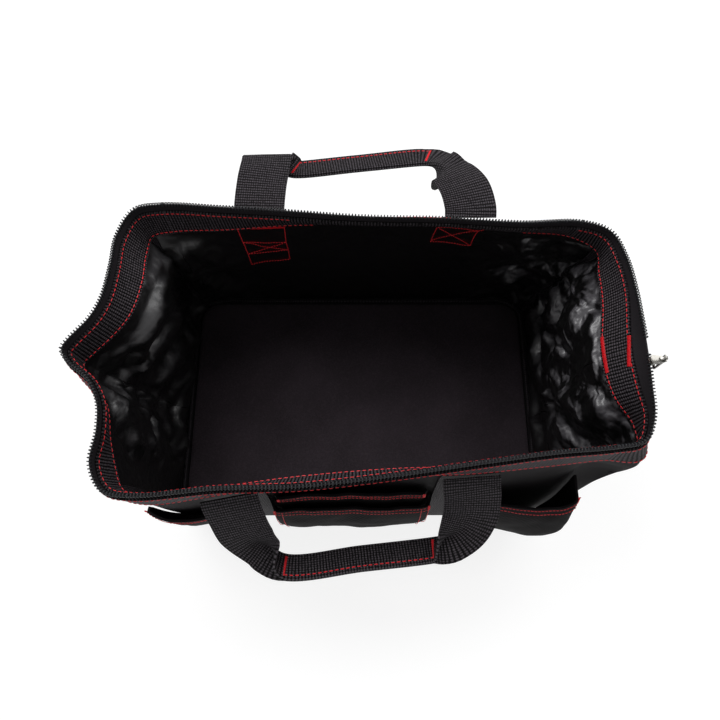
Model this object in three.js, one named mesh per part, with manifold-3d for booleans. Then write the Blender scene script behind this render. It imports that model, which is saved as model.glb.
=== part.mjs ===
// A wide-mouth zippered tool bag that stands open, with webbing handles and outside pockets.
// Millimetres, +Z up, +Y to the rear, +X to the end where the slider parks.
// The origin is the middle of the underside of the floor.

import * as THREE from "three";
import { mergeVertices } from "three/addons/utils/BufferGeometryUtils.js";
import Module from "manifold-3d";

const wasm = await Module();
wasm.setup();

// Floor and walls
const FLOOR_LENGTH = 360;
const FLOOR_DEPTH = 230;
const FLOOR_CORNER = 26;
const FLOOR_THICKNESS = 3;
const WALL_HEIGHT = 228;
const MOUTH_LENGTH = 400;
const MOUTH_DEPTH = 200;
const KNEE_DROP = 50; // below the mouth, where the walls turn in or out towards it
const BELLY = 3; // how far the middle of a wall stands out of true
const CLOTH = 1.6;
const SEAM_GAP = 0.35;
const LAY_GAP = 0.8; // between a strap and what it lies on

// Stiffener board and seam bindings
const BOARD_THICKNESS = 2.5;
const BOARD_INSET = 8;
const BINDING = 3;
const BINDING_INSET = 2.4;
const CORNER_TAPE_WIDTH = 9;
const CORNER_TAPE_THICKNESS = 1.2;
const CORNER_TAPE_FOOT = 14;

// Zip and the webbing bands that hold its tape
const COIL_WIDTH = 5.2;
const COIL_THICKNESS = 2.6;
const TOOTH_PITCH = 3.7; // twice the real pitch
const TOOTH_VALLEY = 0.72; // share of the coil's thickness left between teeth
const TAPE_THICKNESS = 0.9;
const TAPE_SHOW = 9;
const TAPE_TUCK = 5;
const TAPE_GUSSET = 10; // how much wider the tape is beside the parked slider
const GUSSET_DROP = 9; // below the mouth, where the cloth under the parked slider begins
const WEBBING = 1.5;
const BAND_WIDTH = 25;

// Handle webbing
const STRAP_WIDTH = 40;
const STRAP_FOOT = 7;
const FRONT_FOLD_GAP = 1.7; // between the band and the handle that folds out from under it
const REAR_FOLD_GAP = 1;
const FRONT_STRAPS = [-89, 77];
const REAR_STRAPS = [-79.5, 86];
const GRIP_HALF_LENGTH = 54;
const GRIP_LAYER_GAP = 0.5;
const FRONT_GRIP = { out: -155, height: 147, skew: 6 };
const REAR_GRIP = { out: 146, height: 191, skew: 3 };

// Outside pockets
const POCKET_CLOTH = 1.2;
const POCKET_HEIGHT = 133;
const POCKET_FOOT = 7;
const HEM_WIDTH = 8;
const HEM_EXTRA = 0.4; // the hem's binding stands proud of the pocket cloth by this on each face
const POCKET_OUTER_END = 163;
const BACK_POCKET_HEIGHT = 150;
const BACK_POCKET_FOOT = 50;

// Slider and its pull
const SLIDER_LENGTH = 13;
const SLIDER_WIDTH = 10;
const SLIDER_PLATE = 1.6;
const LUG_WIDTH = 3.2;
const LUG_REACH = 3.4;
const LUG_HEIGHT = 5;
const PULL_WIDTH = 8;
const PULL_LENGTH = 30;
const PULL_THICKNESS = 1.4;
const PIN_RADIUS = 0.8;
const PIN_CLEARANCE = 0.3;

const BLACK_CLOTH = { color: 0x1d1b1d, roughness: 0.85, metalness: 0 };
const BLACK_WEBBING = { color: 0x2b292b, roughness: 0.9, metalness: 0 };
const COATED_CLOTH = { color: 0x161517, roughness: 0.4, metalness: 0 };
const BOARD_CLOTH = { color: 0x2a2729, roughness: 0.95, metalness: 0 };
const COIL_NYLON = { color: 0x55575c, roughness: 0.45, metalness: 0 };
const NICKEL = { color: 0xb9b7b0, roughness: 0.3, metalness: 1 };

// Upright lines round the wall, counter-clockwise from the tip where the zip's halves join.
// floor and mouth are shares of the half sizes. rise is the mouth's height over WALL_HEIGHT.
// flare is how far the knee stands outside the mouth, or inside it where it is less than zero.
const WALL_LINES = [
  { name: "tip", floor: [-1, -0.12], mouth: [-1.033, -0.21], rise: 0, flare: -21 },
  { floor: [-1, -0.2], mouth: [-1.0, -0.29], rise: 0, flare: -19 },
  { floor: [-1, -0.34], mouth: [-0.92, -0.42], rise: 0, flare: -14 },
  { floor: [-1, -0.5], mouth: [-0.88, -0.57], rise: -1, flare: -9 },
  { floor: [-1, -0.66], mouth: [-0.872, -0.78], rise: -4, flare: -8 },
  { floor: [-1, -0.84], mouth: [-0.875, -0.98], rise: -8, flare: -6 },
  { name: "front_left_seam", floor: [-0.95, -0.95], mouth: [-0.835, -1.13], rise: -9, flare: 1 },
  { name: "front_left", floor: [-0.84, -1], mouth: [-0.75, -1.185], rise: -6, flare: 6 },
  { floor: [-0.52, -1], mouth: [-0.465, -1.155], rise: 3, flare: -3 },
  { floor: [-0.21, -1], mouth: [-0.19, -1.145], rise: 6, flare: -12 },
  { floor: [0.11, -1], mouth: [0.1, -1.08], rise: 6, flare: -9 },
  { floor: [0.42, -1], mouth: [0.38, -0.995], rise: 4, flare: 2 },
  { floor: [0.69, -1], mouth: [0.65, -0.915], rise: -1, flare: 10 },
  { name: "front_right", floor: [0.87, -1], mouth: [0.85, -0.865], rise: -7, flare: 11 },
  { name: "front_right_seam", floor: [0.96, -0.94], mouth: [0.94, -0.79], rise: -9, flare: 2 },
  { floor: [1, -0.8], mouth: [0.985, -0.66], rise: -8, flare: -15 },
  { floor: [1, -0.55], mouth: [0.998, -0.45], rise: -3, flare: -23 },
  { name: "slider", floor: [1, -0.22], mouth: [0.995, -0.18], rise: 0, flare: -27 },
  { floor: [1, 0.08], mouth: [0.99, 0.04], rise: -1, flare: -27 },
  { floor: [1, 0.38], mouth: [0.98, 0.27], rise: -5, flare: -25 },
  { floor: [1, 0.68], mouth: [0.955, 0.52], rise: -9, flare: -15 },
  { name: "rear_right_seam", floor: [0.98, 0.88], mouth: [0.91, 0.69], rise: -10, flare: 0 },
  { name: "rear_right", floor: [0.88, 1], mouth: [0.83, 0.77], rise: -7, flare: 14 },
  { floor: [0.66, 1], mouth: [0.6, 0.76], rise: 0, flare: 20 },
  { floor: [0.34, 1], mouth: [0.31, 0.79], rise: 5, flare: 22 },
  { floor: [0, 1], mouth: [0, 0.81], rise: 6, flare: 22 },
  { floor: [-0.33, 1], mouth: [-0.3, 0.86], rise: 5, flare: 21 },
  { floor: [-0.58, 1], mouth: [-0.525, 0.91], rise: 2, flare: 19 },
  { name: "rear_left", floor: [-0.84, 1], mouth: [-0.74, 0.93], rise: -2, flare: 13 },
  { name: "rear_left_seam", floor: [-0.96, 0.95], mouth: [-0.83, 0.85], rise: -8, flare: 0 },
  { floor: [-1, 0.8], mouth: [-0.88, 0.7], rise: -9, flare: -11 },
  { floor: [-1, 0.55], mouth: [-0.905, 0.45], rise: -5, flare: -17 },
  { floor: [-1, 0.28], mouth: [-0.915, 0.18], rise: -1, flare: -19 },
  { floor: [-1, 0.12], mouth: [-0.95, 0.02], rise: 0, flare: -19 },
  { floor: [-1, -0.02], mouth: [-1.015, -0.14], rise: 0, flare: -20 },
];
const LINE_COUNT = WALL_LINES.length;
const COLUMN_STEP = 0.5; // wall columns stand on every upright line and half way between two

const wallFoot = FLOOR_THICKNESS + SEAM_GAP;
const up = new THREE.Vector3(0, 0, 1);

function lineAt(name) {
  return WALL_LINES.findIndex((line) => line.name === name);
}

// A point on the edge of the floor's rounded rectangle, drawn in by inset.
function floorEdge([shareX, shareY], inset = 0) {
  const halfX = FLOOR_LENGTH / 2 - inset;
  const halfY = FLOOR_DEPTH / 2 - inset;
  const radius = Math.max(FLOOR_CORNER - inset, 1);
  const x = shareX * halfX;
  const y = shareY * halfY;
  const centreX = Math.sign(x) * (halfX - radius);
  const centreY = Math.sign(y) * (halfY - radius);
  const overX = Math.abs(x) - (halfX - radius);
  const overY = Math.abs(y) - (halfY - radius);
  if (overX <= 0 || overY <= 0) {
    return new THREE.Vector3(x, y, 0);
  }
  const reach = radius / Math.hypot(overX, overY);
  return new THREE.Vector3(
    centreX + Math.sign(x) * overX * reach,
    centreY + Math.sign(y) * overY * reach,
    0,
  );
}

function closedLoop(points) {
  return new THREE.CatmullRomCurve3(points, true, "centripetal");
}

const mouthPoints = WALL_LINES.map(
  ({ mouth, rise }) =>
    new THREE.Vector3(
      (mouth[0] * MOUTH_LENGTH) / 2,
      (mouth[1] * MOUTH_DEPTH) / 2,
      WALL_HEIGHT + rise,
    ),
);
const mouthLoop = closedLoop(mouthPoints);
const footLoop = closedLoop(WALL_LINES.map(({ floor }) => floorEdge(floor).setZ(wallFoot)));

// The level direction that points out of the bag at the wall's foot.
function footOutward(u) {
  const tangent = footLoop.getTangent((u / LINE_COUNT) % 1);
  return new THREE.Vector3(tangent.y, -tangent.x, 0).normalize();
}

const kneeLoop = closedLoop(
  WALL_LINES.map(({ flare }, i) => {
    const fall = Math.sqrt(KNEE_DROP ** 2 - flare ** 2);
    return mouthPoints[i].clone().addScaledVector(footOutward(i), flare).addScaledVector(up, -fall);
  }),
);

function onLoop(loop, u) {
  const share = u / LINE_COUNT;
  return loop.getPoint(share - Math.floor(share));
}

// The wall's inner face as a smooth upright curve at u, from the floor to the mouth.
const columns = new Map();
function column(u) {
  const key = u.toFixed(5);
  if (!columns.has(key)) {
    const foot = onLoop(footLoop, u);
    const knee = onLoop(kneeLoop, u);
    const middle = foot.clone().lerp(knee, 0.5);
    const outward = new THREE.Vector3(middle.x / FLOOR_LENGTH, middle.y / FLOOR_DEPTH, 0);
    middle.addScaledVector(outward.normalize(), BELLY);
    const curve = new THREE.CatmullRomCurve3([foot, middle, knee, onLoop(mouthLoop, u)]);
    curve.curveType = "centripetal";
    columns.set(key, { curve, length: curve.getLength() });
  }
  return columns.get(key);
}

// A point of the inner face, drop below the mouth; a drop under zero goes straight on past it.
function facePoint(u, drop) {
  const { curve, length } = column(u);
  if (drop >= 0) {
    return curve.getPointAt(Math.max(0, 1 - drop / length));
  }
  const top = curve.getPoint(1);
  return top.addScaledVector(curve.getTangent(1), -drop);
}

function faceNormal(u, drop) {
  const step = 0.05;
  const sink = 2;
  const { length } = column(u);
  const level = Math.min(drop, length - sink);
  const along = facePoint(u + step, level).sub(facePoint(u - step, level));
  const upward = facePoint(u, level - sink).sub(facePoint(u, level + sink));
  return along.cross(upward).normalize();
}

// A point that stands out of the inner face, along its normal.
function wallPoint(u, drop, out) {
  return facePoint(u, drop).addScaledVector(faceNormal(u, drop), out);
}

// The same on the flats between the wall's columns, which all layers of the wall share.
function flatPoint(u, drop, out) {
  const before = Math.floor(u / COLUMN_STEP) * COLUMN_STEP;
  const share = (u - before) / COLUMN_STEP;
  const start = wallPoint(before, drop, out);
  return share > 0 ? start.lerp(wallPoint(before + COLUMN_STEP, drop, out), share) : start;
}

function footDrop(u) {
  return column(u).length;
}

// The drop at which the wall has the height z, on its inner face or out from it.
function dropAtHeight(u, z, out = 0) {
  let low = 0;
  let high = footDrop(u);
  for (let i = 0; i < 24; i++) {
    const middle = (low + high) / 2;
    if (wallPoint(u, middle, out).z > z) {
      low = middle;
    } else {
      high = middle;
    }
  }
  return (low + high) / 2;
}

// The u between two upright lines at which the wall, level with the knee, has the given x.
function columnAtX(from, to, x) {
  const growing = facePoint(to, KNEE_DROP).x > facePoint(from, KNEE_DROP).x;
  let low = from;
  let high = to;
  for (let i = 0; i < 24; i++) {
    const middle = (low + high) / 2;
    if (facePoint(middle, KNEE_DROP).x < x === growing) {
      low = middle;
    } else {
      high = middle;
    }
  }
  return (low + high) / 2;
}

// u moved by a distance measured along the mouth.
function moved(u, distance) {
  const step = 0.01;
  const speed = onLoop(mouthLoop, u + step).distanceTo(onLoop(mouthLoop, u - step)) / (2 * step);
  return u + distance / speed;
}

const FRONT = [lineAt("front_left"), lineAt("front_right")];
const RIGHT = [lineAt("front_right"), lineAt("rear_right")];
const REAR = [lineAt("rear_right"), lineAt("rear_left")];
const LEFT = [lineAt("rear_left"), lineAt("front_left") + LINE_COUNT];
const SLIDER_LINE = lineAt("slider");

function evenList(from, to, count) {
  return Array.from({ length: count + 1 }, (_, i) => from + ((to - from) * i) / count);
}

// Two ends and the wall's own columns between them, so that layers lie flat on one another.
function sharedList(from, to) {
  const list = [from];
  const first = Math.ceil(from / COLUMN_STEP) * COLUMN_STEP;
  for (let u = first; u < to; u += COLUMN_STEP) {
    if (u - from > COLUMN_STEP / 10 && to - u > COLUMN_STEP / 10) {
      list.push(u);
    }
  }
  return [...list, to];
}

// The columns of a stretch of wall, with half a seam's gap at each end.
function columnList([from, to]) {
  return sharedList(moved(from, SEAM_GAP / 2), moved(to, -SEAM_GAP / 2));
}

// The bands sink beside the parked slider, where the zip's tape is wider.
function bandTop(u) {
  const away = Math.abs(u - SLIDER_LINE) / 2.5;
  const dip = away < 1 ? Math.cos((away * Math.PI) / 2) ** 2 : 0;
  return COIL_WIDTH + TAPE_SHOW + TAPE_GUSSET * dip;
}

function bandRows(u) {
  const top = bandTop(u);
  return [top, top + TAPE_TUCK + SEAM_GAP, top + BAND_WIDTH / 2, top + BAND_WIDTH];
}

function tapeRows(u) {
  const top = bandTop(u);
  return [COIL_WIDTH + SEAM_GAP, top, top + TAPE_TUCK];
}

function panelRows(u) {
  const [, tuck, middle, bottom] = bandRows(u);
  const foot = footDrop(u);
  const lower = [0.2, 0.42, 0.7, 1].map((share) => bottom + (foot - bottom) * share);
  return [tuck, middle, bottom, ...lower];
}

// A closed body from two grids of points, an inner and an outer, whose edges are joined.
function gridBody(inner, outer) {
  const rows = inner.length;
  const width = inner[0].length;
  const points = [...inner.flat(), ...outer.flat()];
  const place = (side, i, j) => side * rows * width + i * width + j;
  const faces = [];
  const quad = (a, b, c, d) => faces.push(a, b, c, a, c, d);
  for (let i = 0; i < rows - 1; i++) {
    for (let j = 0; j < width - 1; j++) {
      quad(place(1, i, j), place(1, i + 1, j), place(1, i + 1, j + 1), place(1, i, j + 1));
      quad(place(0, i, j), place(0, i, j + 1), place(0, i + 1, j + 1), place(0, i + 1, j));
    }
  }
  for (let i = 0; i < rows - 1; i++) {
    quad(place(0, i, 0), place(0, i + 1, 0), place(1, i + 1, 0), place(1, i, 0));
    const j = width - 1;
    quad(place(0, i, j), place(1, i, j), place(1, i + 1, j), place(0, i + 1, j));
  }
  for (let j = 0; j < width - 1; j++) {
    quad(place(0, 0, j), place(1, 0, j), place(1, 0, j + 1), place(0, 0, j + 1));
    const i = rows - 1;
    quad(place(0, i, j), place(0, i, j + 1), place(1, i, j + 1), place(1, i, j));
  }
  return body(points, faces);
}

// A closed body from rings of points along a path, capped at both ends or joined end to start.
function ringBody(rings, closed = false) {
  const sides = rings[0].length;
  const faces = [];
  const last = closed ? rings.length : rings.length - 1;
  for (let i = 0; i < last; i++) {
    const next = (i + 1) % rings.length;
    for (let j = 0; j < sides; j++) {
      const k = (j + 1) % sides;
      const [a, b] = [i * sides + j, i * sides + k];
      const [c, d] = [next * sides + k, next * sides + j];
      faces.push(a, b, c, a, c, d);
    }
  }
  if (!closed) {
    const end = (rings.length - 1) * sides;
    for (let j = 1; j < sides - 1; j++) {
      faces.push(0, j + 1, j, end, end + j, end + j + 1);
    }
  }
  return body(rings.flat(), faces);
}

function signedVolume(points, faces) {
  let volume = 0;
  for (let i = 0; i < faces.length; i += 3) {
    const [a, b, c] = [points[faces[i]], points[faces[i + 1]], points[faces[i + 2]]];
    volume += a.dot(b.clone().cross(c)) / 6;
  }
  return volume;
}

// A geometry whose faces point out of the body, whichever way round they were listed.
function body(points, faces) {
  if (signedVolume(points, faces) < 0) {
    faces.reverse();
  }
  const geometry = new THREE.BufferGeometry().setFromPoints(points);
  geometry.setIndex(faces);
  geometry.computeVertexNormals();
  return geometry;
}

// A layer of the wall over the given columns. rows gives the drops of a column, from the top,
// and out how far its inner side stands off the wall's inner face.
function wallLayer(us, rows, out, thickness) {
  const offset = typeof out === "function" ? out : () => out;
  const grid = (extra) =>
    us.map((u, i) =>
      rows(u).map((drop, j) => flatPoint(u, drop, offset(u, drop, i, j) + extra)),
    );
  return gridBody(grid(0), grid(thickness));
}

const LAYERS = {
  panel: { out: 0, thickness: CLOTH },
  innerBand: { out: -SEAM_GAP - WEBBING, thickness: WEBBING },
  outerBand: { out: CLOTH + SEAM_GAP, thickness: WEBBING },
  tape: { out: (CLOTH - TAPE_THICKNESS) / 2, thickness: TAPE_THICKNESS },
};

function layerOver(us, rows, { out, thickness }) {
  return wallLayer(us, rows, out, thickness);
}

// The zip's coil over a stretch of the mouth: thick at each tooth and thin between two.
function coilBody(from, to) {
  const steps = 400;
  const us = evenList(from, to, steps);
  const lengths = [0];
  for (let i = 1; i <= steps; i++) {
    const step = onLoop(mouthLoop, us[i]).distanceTo(onLoop(mouthLoop, us[i - 1]));
    lengths.push(lengths[i - 1] + step);
  }
  const teeth = Math.max(2, Math.round(lengths[steps] / TOOTH_PITCH));
  const middle = CLOTH / 2;
  let i = 0;
  const rings = Array.from({ length: 2 * teeth + 1 }, (_, n) => {
    const target = (lengths[steps] * n) / (2 * teeth);
    while (i < steps - 1 && lengths[i + 1] < target) {
      i++;
    }
    const share = (target - lengths[i]) / (lengths[i + 1] - lengths[i]);
    const u = us[i] + (us[i + 1] - us[i]) * share;
    const half = (COIL_THICKNESS / 2) * (n % 2 ? 1 : TOOTH_VALLEY);
    const trim = n % 2 ? 0 : 0.4;
    return [
      flatPoint(u, trim, middle - half),
      flatPoint(u, trim, middle + half),
      flatPoint(u, COIL_WIDTH, middle + half),
      flatPoint(u, COIL_WIDTH, middle - half),
    ];
  });
  return ringBody(rings);
}

// The ends and the middle, in u, of a strap that is sewn down the outside of a panel.
function strapPlace([from, to], x) {
  const middle = columnAtX(from, to, x);
  const ends = [x - STRAP_WIDTH / 2, x + STRAP_WIDTH / 2].map((edge) =>
    columnAtX(from, to, edge),
  );
  return { middle, ends: ends.sort((a, b) => a - b) };
}

function strapTop(u) {
  return bandTop(u) + BAND_WIDTH + SEAM_GAP;
}

function sewnStrap(side, x) {
  const { ends } = strapPlace(side, x);
  const rows = (u) => {
    const [, , , ...lower] = panelRows(u);
    lower[lower.length - 1] = dropAtHeight(u, STRAP_FOOT);
    return [strapTop(u), ...lower];
  };
  return wallLayer(sharedList(...ends), rows, CLOTH + LAY_GAP, WEBBING);
}

// Where the free handle begins: the middle of the webbing, folded out over its strap's top edge
// and clear of the band above by the given gap.
function foldPoint(side, x, gap) {
  const { middle } = strapPlace(side, x);
  return wallPoint(middle, strapTop(middle), CLOTH + SEAM_GAP + WEBBING + gap + WEBBING / 2);
}

// A pocket cloth stands off the panel most at its middle height. across and height are shares.
function pocketBulge(across, height, { bulge, mouth }) {
  const side = Math.max(0, Math.sin(Math.PI * across)) ** POCKET_ROUNDNESS;
  const belly = 4 * bulge * height * (1 - height) + mouth * height * (2 * height - 1);
  return side * belly;
}

const POCKET_ROUNDNESS = 0.35; // nearer to 0, the sides of a pocket stand up more sharply
const POCKET_COLUMNS = 10;
const POCKET_ROWS = 5;

function pocketParts(side, pocket) {
  const [from, to] = pocket.x.map((x) => pocketColumn(side, x)).sort((a, b) => a - b);
  const us = evenList(from, to, POCKET_COLUMNS);
  const top = pocket.top ?? POCKET_HEIGHT;
  const foot = pocket.foot ?? POCKET_FOOT;
  const clothTop = top - HEM_WIDTH - SEAM_GAP;
  const seat = CLOTH + LAY_GAP + HEM_EXTRA;
  const bulgeAt = (z) => (u, _, i) =>
    seat + pocketBulge(i / POCKET_COLUMNS, (z - foot) / (top - foot), pocket);
  const heights = evenList(clothTop, foot, POCKET_ROWS);
  const clothRows = (u) => heights.map((z) => dropAtHeight(u, z));
  const clothOut = (u, drop, i, j) => bulgeAt(heights[j])(u, drop, i);
  const hemHeights = [top, top - HEM_WIDTH];
  const hemRows = (u) => hemHeights.map((z) => dropAtHeight(u, z));
  const hemOut = (u, drop, i, j) => bulgeAt(hemHeights[j])(u, drop, i) - HEM_EXTRA;
  return {
    cloth: wallLayer(us, clothRows, clothOut, POCKET_CLOTH),
    hem: wallLayer(us, hemRows, hemOut, POCKET_CLOTH + 2 * HEM_EXTRA),
  };
}

// A pocket may run round the corner, so its ends are looked for past the panel's own.
function pocketColumn([from, to], x) {
  return columnAtX(from - 1, to + 1, x);
}

function pocketSpan(leftEdge, rightEdge) {
  return [leftEdge + SEAM_GAP, rightEdge - SEAM_GAP];
}

const halfStrap = STRAP_WIDTH / 2;
const frontBetween = pocketSpan(FRONT_STRAPS[0] + halfStrap, FRONT_STRAPS[1] - halfStrap);
const FRONT_POCKETS = {
  left: {
    x: pocketSpan(-POCKET_OUTER_END, FRONT_STRAPS[0] - halfStrap),
    bulge: 15,
    mouth: 13,
  },
  centre: { x: frontBetween, bulge: 18, mouth: 17 },
  centre_back: {
    x: [frontBetween[0] + 5, frontBetween[1] - 5],
    top: BACK_POCKET_HEIGHT,
    foot: BACK_POCKET_FOOT,
    bulge: 7,
    mouth: 8,
  },
  right: {
    x: pocketSpan(FRONT_STRAPS[1] + halfStrap, POCKET_OUTER_END),
    bulge: 24,
    mouth: 17,
  },
};
const REAR_POCKETS = {
  left: { x: pocketSpan(-POCKET_OUTER_END, REAR_STRAPS[0] - halfStrap), bulge: 13, mouth: 9 },
  centre: {
    x: pocketSpan(REAR_STRAPS[0] + halfStrap, REAR_STRAPS[1] - halfStrap),
    bulge: 14,
    mouth: 9,
  },
  right: { x: pocketSpan(REAR_STRAPS[1] + halfStrap, POCKET_OUTER_END), bulge: 13, mouth: 9 },
};

// One station of the handle: its place, the way its width lies, and how far it is folded
// in half along its length, from 0, flat, to 1, two layers thick.
function station(place, across, fold) {
  return { place, across: new THREE.Vector3(...across).normalize(), fold };
}

// Webbing swept through its stations. Its middle line follows them, and the two halves of its
// width close on one another as it folds.
function webbingBody(stations, stepLength) {
  const path = new THREE.CatmullRomCurve3(stations.map(({ place }) => place));
  path.curveType = "centripetal";
  const acrossPath = new THREE.CatmullRomCurve3(stations.map(({ across }) => across));
  const folds = new THREE.SplineCurve(
    stations.map(({ fold }, i) => new THREE.Vector2(i, fold)),
  );
  const count = Math.ceil(path.getLength() / stepLength);
  const rings = evenList(0, 1, count).map((share) => {
    const t = path.getUtoTmapping(share);
    const middle = path.getPoint(t);
    const along = path.getTangent(t);
    const across = acrossPath.getPoint(t);
    across.addScaledVector(along, -across.dot(along)).normalize();
    const fold = THREE.MathUtils.clamp(folds.getPoint(t).y, 0, 1);
    return foldedSection(middle, along, across, fold);
  });
  return ringBody(rings);
}

function foldedSection(middle, along, across, fold) {
  const opened = along.clone().cross(across);
  const lean = (fold * Math.PI) / 2;
  const side = (sign) =>
    across
      .clone()
      .multiplyScalar(sign * Math.cos(lean))
      .addScaledVector(opened, Math.sin(lean));
  const apart = fold * (WEBBING + GRIP_LAYER_GAP) * 0.5;
  const half = STRAP_WIDTH / 2;
  const edge = (sign, face) => {
    const run = side(sign);
    const normal = along.clone().cross(run).multiplyScalar(sign * face * (WEBBING / 2));
    return middle
      .clone()
      .addScaledVector(across, sign * apart)
      .addScaledVector(run, half)
      .add(normal);
  };
  const spine = (face) => {
    const shift = fold * WEBBING * (face > 0 ? 0.6 : -0.6);
    return middle.clone().addScaledVector(opened, (face * WEBBING) / 2 + shift);
  };
  return [edge(-1, 1), spine(1), edge(1, 1), edge(1, -1), spine(-1), edge(-1, -1)];
}

function reversed([x, y, z]) {
  return [-x, -y, -z];
}

// The line through a handle's two folds, and a function that moves a point along that line,
// level across it and up.
function foldFrame(left, right) {
  const along = right.clone().sub(left).normalize();
  const level = up.clone().cross(along).normalize();
  const offsetFrom = (point, x, y, z) =>
    point.clone().addScaledVector(along, x).addScaledVector(level, y).addScaledVector(up, z);
  return { foldLine: along.toArray(), offsetFrom };
}

// The two ends and the middle of a grip, folded double, whose fold leans the way of across.
function gripStations({ out, height, skew }, across) {
  return [-GRIP_HALF_LENGTH, 0, GRIP_HALF_LENGTH].map((x) => {
    const place = new THREE.Vector3(x, out + (skew * x) / GRIP_HALF_LENGTH, height);
    return station(place, across, 1);
  });
}

// The front handle hangs out and down from its folds, grip lowest. Both folds lie on one line,
// about which it swings.
function frontHandle() {
  const [left, right] = FRONT_STRAPS.map((x) => foldPoint(FRONT, x, FRONT_FOLD_GAP));
  const { foldLine, offsetFrom } = foldFrame(left, right);
  return webbingBody(
    [
      station(left, foldLine, 0),
      station(offsetFrom(left, 1, -6, -5), foldLine, 0),
      station(offsetFrom(left, 4, -14, -14), [1, 0.05, 0], 0),
      station(offsetFrom(left, 11, -27, -30), [0.95, 0.2, 0.15], 0.06),
      station(offsetFrom(left, 21, -37, -42), [0.65, 0.4, 0.6], 0.4),
      ...gripStations(FRONT_GRIP, [0, 0.45, 0.89]),
      station(offsetFrom(right, -12, -38, -42), [-0.6, 0.45, 0.65], 0.4),
      station(offsetFrom(right, -1, -30, -31), [-0.95, 0.15, 0.15], 0.06),
      station(offsetFrom(right, 2, -15, -15), [-1, 0, 0], 0),
      station(offsetFrom(right, 0, -6, -5), reversed(foldLine), 0),
      station(right, reversed(foldLine), 0),
    ],
    7,
  );
}

// The rear handle stands out behind the bag from its folds.
function rearHandle() {
  const [left, right] = REAR_STRAPS.map((x) => foldPoint(REAR, x, REAR_FOLD_GAP));
  const { foldLine, offsetFrom } = foldFrame(left, right);
  return webbingBody(
    [
      station(left, foldLine, 0),
      station(offsetFrom(left, 0, 8, 2), foldLine, 0),
      station(offsetFrom(left, 1, 24, 3), [1, 0, 0], 0),
      station(offsetFrom(left, 3, 40, 0), [1, 0.1, 0], 0.06),
      station(offsetFrom(left, 10, 46, -6), [0.7, -0.55, -0.45], 0.45),
      ...gripStations(REAR_GRIP, [0, -0.31, -0.95]),
      station(offsetFrom(right, -16, 54, -5), [-0.6, -0.6, -0.5], 0.5),
      station(offsetFrom(right, -5, 42, 0), [-1, 0.1, 0], 0.08),
      station(offsetFrom(right, -1, 24, 3), [-1, 0, 0], 0),
      station(offsetFrom(right, 0, 8, 2), reversed(foldLine), 0),
      station(right, reversed(foldLine), 0),
    ],
    7,
  );
}

function solidFrom(geometry) {
  const bare = geometry.clone();
  bare.deleteAttribute("normal");
  bare.deleteAttribute("uv");
  const merged = mergeVertices(bare, 1e-4);
  return new wasm.Manifold(
    new wasm.Mesh({
      numProp: 3,
      vertProperties: new Float32Array(merged.attributes.position.array),
      triVerts: new Uint32Array(merged.index.array),
    }),
  );
}

function geometryFrom(solid) {
  const mesh = solid.getMesh();
  const geometry = new THREE.BufferGeometry();
  geometry.setAttribute("position", new THREE.BufferAttribute(mesh.vertProperties, 3));
  geometry.setIndex(new THREE.BufferAttribute(mesh.triVerts, 1));
  geometry.computeVertexNormals();
  return geometry;
}

function joined(geometries) {
  const solids = geometries.map(solidFrom);
  return geometryFrom(solids.reduce((whole, next) => whole.add(next)));
}

function extruded(shape, depth, curveSegments = 6) {
  return new THREE.ExtrudeGeometry(shape, { depth, bevelEnabled: false, curveSegments });
}

// A flat plate across the floor, its edge drawn in from the wall's foot.
function floorPlate(inset, bottom, thickness) {
  const points = [];
  for (let u = 0; u < LINE_COUNT; u += COLUMN_STEP) {
    const foot = onLoop(footLoop, u);
    foot.addScaledVector(footOutward(u), -inset);
    points.push(new THREE.Vector2(foot.x, foot.y));
  }
  return extruded(new THREE.Shape(points), thickness).translate(0, 0, bottom);
}

// The binding over the seam between walls and floor, just inside the walls.
function floorBinding() {
  const rings = [];
  for (let u = 0; u < LINE_COUNT; u += COLUMN_STEP) {
    const outer = onLoop(footLoop, u).addScaledVector(footOutward(u), -BINDING_INSET);
    const inner = outer.clone().addScaledVector(footOutward(u), -BINDING);
    const lift = new THREE.Vector3(0, 0, BINDING);
    rings.push([outer, inner, inner.clone().add(lift), outer.clone().add(lift)]);
  }
  return ringBody(rings, true);
}

// The tape that binds the upright seam of a corner, inside the bag.
function cornerTape(name) {
  const u = lineAt(name);
  const half = CORNER_TAPE_WIDTH / 2;
  const us = sharedList(moved(u, -half), moved(u, half));
  const rows = (at) => {
    const [, , bottom, ...lower] = panelRows(at);
    lower[lower.length - 1] = dropAtHeight(at, CORNER_TAPE_FOOT);
    return [bottom + SEAM_GAP, ...lower];
  };
  return wallLayer(us, rows, -LAY_GAP - CORNER_TAPE_THICKNESS, CORNER_TAPE_THICKNESS);
}

// The cloth that closes the tape's gap under the parked slider.
const sliderRoom = SLIDER_WIDTH / 2 + SEAM_GAP;

function zipEndGusset() {
  const half = sliderRoom - SEAM_GAP;
  const us = sharedList(moved(SLIDER_LINE, -half), moved(SLIDER_LINE, half));
  const rows = (u) => [GUSSET_DROP, bandTop(u), bandTop(u) + TAPE_TUCK];
  return layerOver(us, rows, LAYERS.tape);
}

const sliderCentre = wallPoint(SLIDER_LINE, COIL_WIDTH / 2, CLOTH / 2);
const SLIDER_MOUTH = COIL_THICKNESS + 2 * SEAM_GAP;
const sliderTop = SLIDER_MOUTH / 2 + SLIDER_PLATE;
const lugCentre = new THREE.Vector3(
  SLIDER_LENGTH / 2 + LUG_REACH / 2,
  0,
  sliderTop + LUG_HEIGHT / 2,
);

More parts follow.
